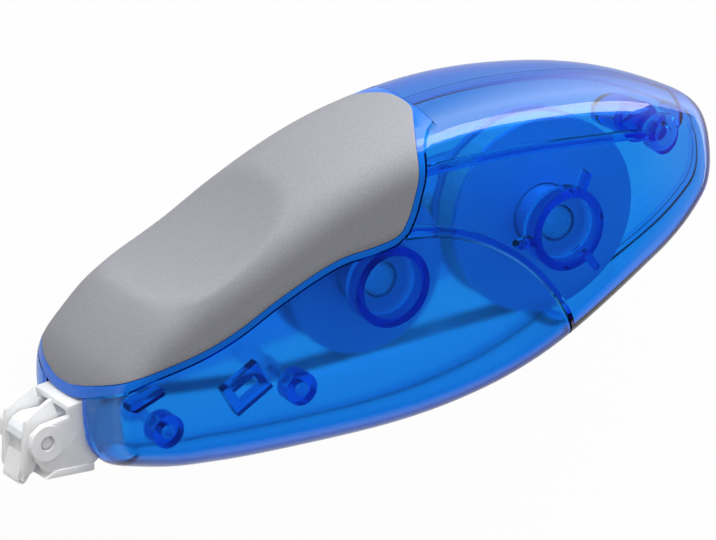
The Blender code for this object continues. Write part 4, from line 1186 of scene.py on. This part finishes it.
def make_camera():
    data = bpy.data.cameras.new("photo view")
    data.sensor_width = SENSOR_WIDTH
    data.lens = SENSOR_WIDTH * CAMERA_DISTANCE / FRAME_WIDTH
    data.clip_end = CLIP_END
    camera = link_object("photo view", data)
    turn = Matrix((IMAGE_RIGHT, IMAGE_UP, TO_CAMERA)).transposed().to_4x4()
    aim = MIDDLE + IMAGE_RIGHT * CENTRE_SHIFT
    camera.matrix_world = Matrix.Translation(aim + TO_CAMERA * CAMERA_DISTANCE) @ turn
    bpy.context.scene.camera = camera


# Operators
class DISPENSER_OT_shells(Operator):
    """Model the four translucent shells with their ribs and bosses"""
    bl_idname = "dispenser.shells"
    bl_label = "Shells"

    def execute(self, context):
        front_zone, rear_zone = zones()
        frosted = tinted_plastic("Tinted shell, frosted inside", inner_roughness=0.2)
        clear = tinted_plastic("Tinted shell, clear", inner_roughness=0.03)
        left_front = shell(1, front_zone, left_front_ribs(), front_face(), window())
        right_front = shell(-1, front_zone, [], front_face(), window())
        left_rear = shell(1, rear_zone, left_rear_ribs())
        right_rear = combine(shell(-1, rear_zone, right_rear_ribs()), "UNION", rear_pin())
        for name, bm, finish in (("left_front", left_front, frosted), ("right_front", right_front, frosted),
                                 ("left_rear", left_rear, clear), ("right_rear", right_rear, clear)):
            finish_piece(f"{name}_case", bm, finish, "case", [f"{name}_shell"])
        return {"FINISHED"}


class DISPENSER_OT_carrier(Operator):
    """Model the blue carrier: the rim round the grip, the visor and the saddle under the pad"""
    bl_idname = "dispenser.carrier"
    bl_label = "Carrier"

    def execute(self, context):
        bed = sizes().pad + sizes().seam
        saddle = thickened(grip_surface(bed, SADDLE_START, sizes().rim / 2), sizes().saddle)
        blue = blue_plastic("Blue carrier")
        finish_piece("carrier", joined(carrier_rim(), saddle), blue, "case", ["grip_carrier"])
        return {"FINISHED"}


class DISPENSER_OT_grip(Operator):
    """Model the soft grip with its finger scoop"""
    bl_idname = "dispenser.grip"
    bl_label = "Grip"

    def execute(self, context):
        pad = rounded(thickened(grip_surface(0), sizes().pad), sizes().edge_round)
        rubber = soft_rubber("Soft grey rubber")
        finish_piece("soft_grip", pad, rubber, "case", ["grip_pad"], sharp=40)
        return {"FINISHED"}


class DISPENSER_OT_nose(Operator):
    """Model the clear nose, the tip that rocks in it and the pivot pin"""
    bl_idname = "dispenser.nose"
    bl_label = "Nose and tip"

    def execute(self, context):
        pivot = DRAWN_PIVOT * PLAN
        reach = sizes().fork_outer
        pin = rounded(tube(pivot, sizes().pin_radius, 0, -reach, reach, steps=40), PIN_ROUND)
        holder = frosted_clear("Frosted nose", colours().frost, roughness=0.4, clear=0.3)
        finish_piece("clear_nose", nose_block(pivot), holder, "case", ["nose_block"])
        finish_piece("clear_pin", pin, holder, "case", ["tip_pivot_pin"])
        frosted = frosted_clear("Frosted tip", colours().frost, roughness=0.45, clear=0.3)
        finish_piece("clear_tip", tip_head(pivot), frosted, "tip", ["tip_head"])
        return {"FINISHED"}


class DISPENSER_OT_finishes(Operator):
    """Give every carried-over piece of the mechanism its finish"""
    bl_idname = "dispenser.finishes"
    bl_label = "Mechanism finishes"

    def execute(self, context):
        look = colours()
        dress(["mechanism_plate"], frosted_clear("Plate plastic", look.plate, roughness=0.3, clear=1.0))
        dress(["supply_spool", "supply_flange"],
              satin_plastic("Supply reel plastic", look.inner, roughness=0.34, drift_scale=70.0))
        dress(["takeup_drum", "takeup_flange"],
              satin_plastic("Take-up reel plastic", look.inner, roughness=0.36, drift_scale=80.0))
        dress(["supply_gear", "idler_gear", "takeup_gear"],
              satin_plastic("Gear plastic", look.gear, roughness=0.38, spread=0.04))
        dress(["tape_roll", "tape_run"],
              satin_plastic("Coated tape", look.tape, roughness=0.55, drift_scale=300.0))
        dress(["tip_tape"], frosted_clear("Thin tape", look.frost, roughness=0.8, clear=0.4))
        dress(["film_wrap", "film_run"],
              satin_plastic("Spent film", look.film, roughness=0.2, drift_scale=240.0))
        dress(["clutch_ring"], satin_plastic("Clutch rubber", look.clutch, roughness=0.7, spread=0.2))
        return {"FINISHED"}


class DISPENSER_OT_stage(Operator):
    """Set up the white floor, the soft lights and the camera"""
    bl_idname = "dispenser.stage"
    bl_label = "Stage"

    def execute(self, context):
        make_floor()
        make_world()
        make_lights()
        make_camera()
        context.scene.view_settings.view_transform = "Standard"
        return {"FINISHED"}


class DISPENSER_PT_panel(Panel):
    """The steps in the sidebar"""
    bl_label = "Dispenser"
    bl_idname = "DISPENSER_PT_panel"
    bl_space_type = "VIEW_3D"
    bl_region_type = "UI"
    bl_category = "Dispenser"

    def draw(self, context):
        for step in STEPS:
            self.layout.operator(step.bl_idname)


STEPS = (DISPENSER_OT_shells, DISPENSER_OT_carrier, DISPENSER_OT_grip, DISPENSER_OT_nose,
         DISPENSER_OT_finishes, DISPENSER_OT_stage)
CLASSES = (CaseSizes, FinishColours, *STEPS, DISPENSER_PT_panel)


def register():
    for item in CLASSES:
        bpy.utils.register_class(item)
    bpy.types.Scene.dispenser_sizes = PointerProperty(type=CaseSizes)
    bpy.types.Scene.dispenser_colours = PointerProperty(type=FinishColours)


def unregister():
    del bpy.types.Scene.dispenser_colours
    del bpy.types.Scene.dispenser_sizes
    for item in reversed(CLASSES):
        bpy.utils.unregister_class(item)


def main():
    register()
    bpy.ops.dispenser.shells()
    bpy.ops.dispenser.carrier()
    bpy.ops.dispenser.grip()
    bpy.ops.dispenser.nose()
    bpy.ops.dispenser.finishes()
    bpy.ops.dispenser.stage()


if __name__ == "__main__":
    main()
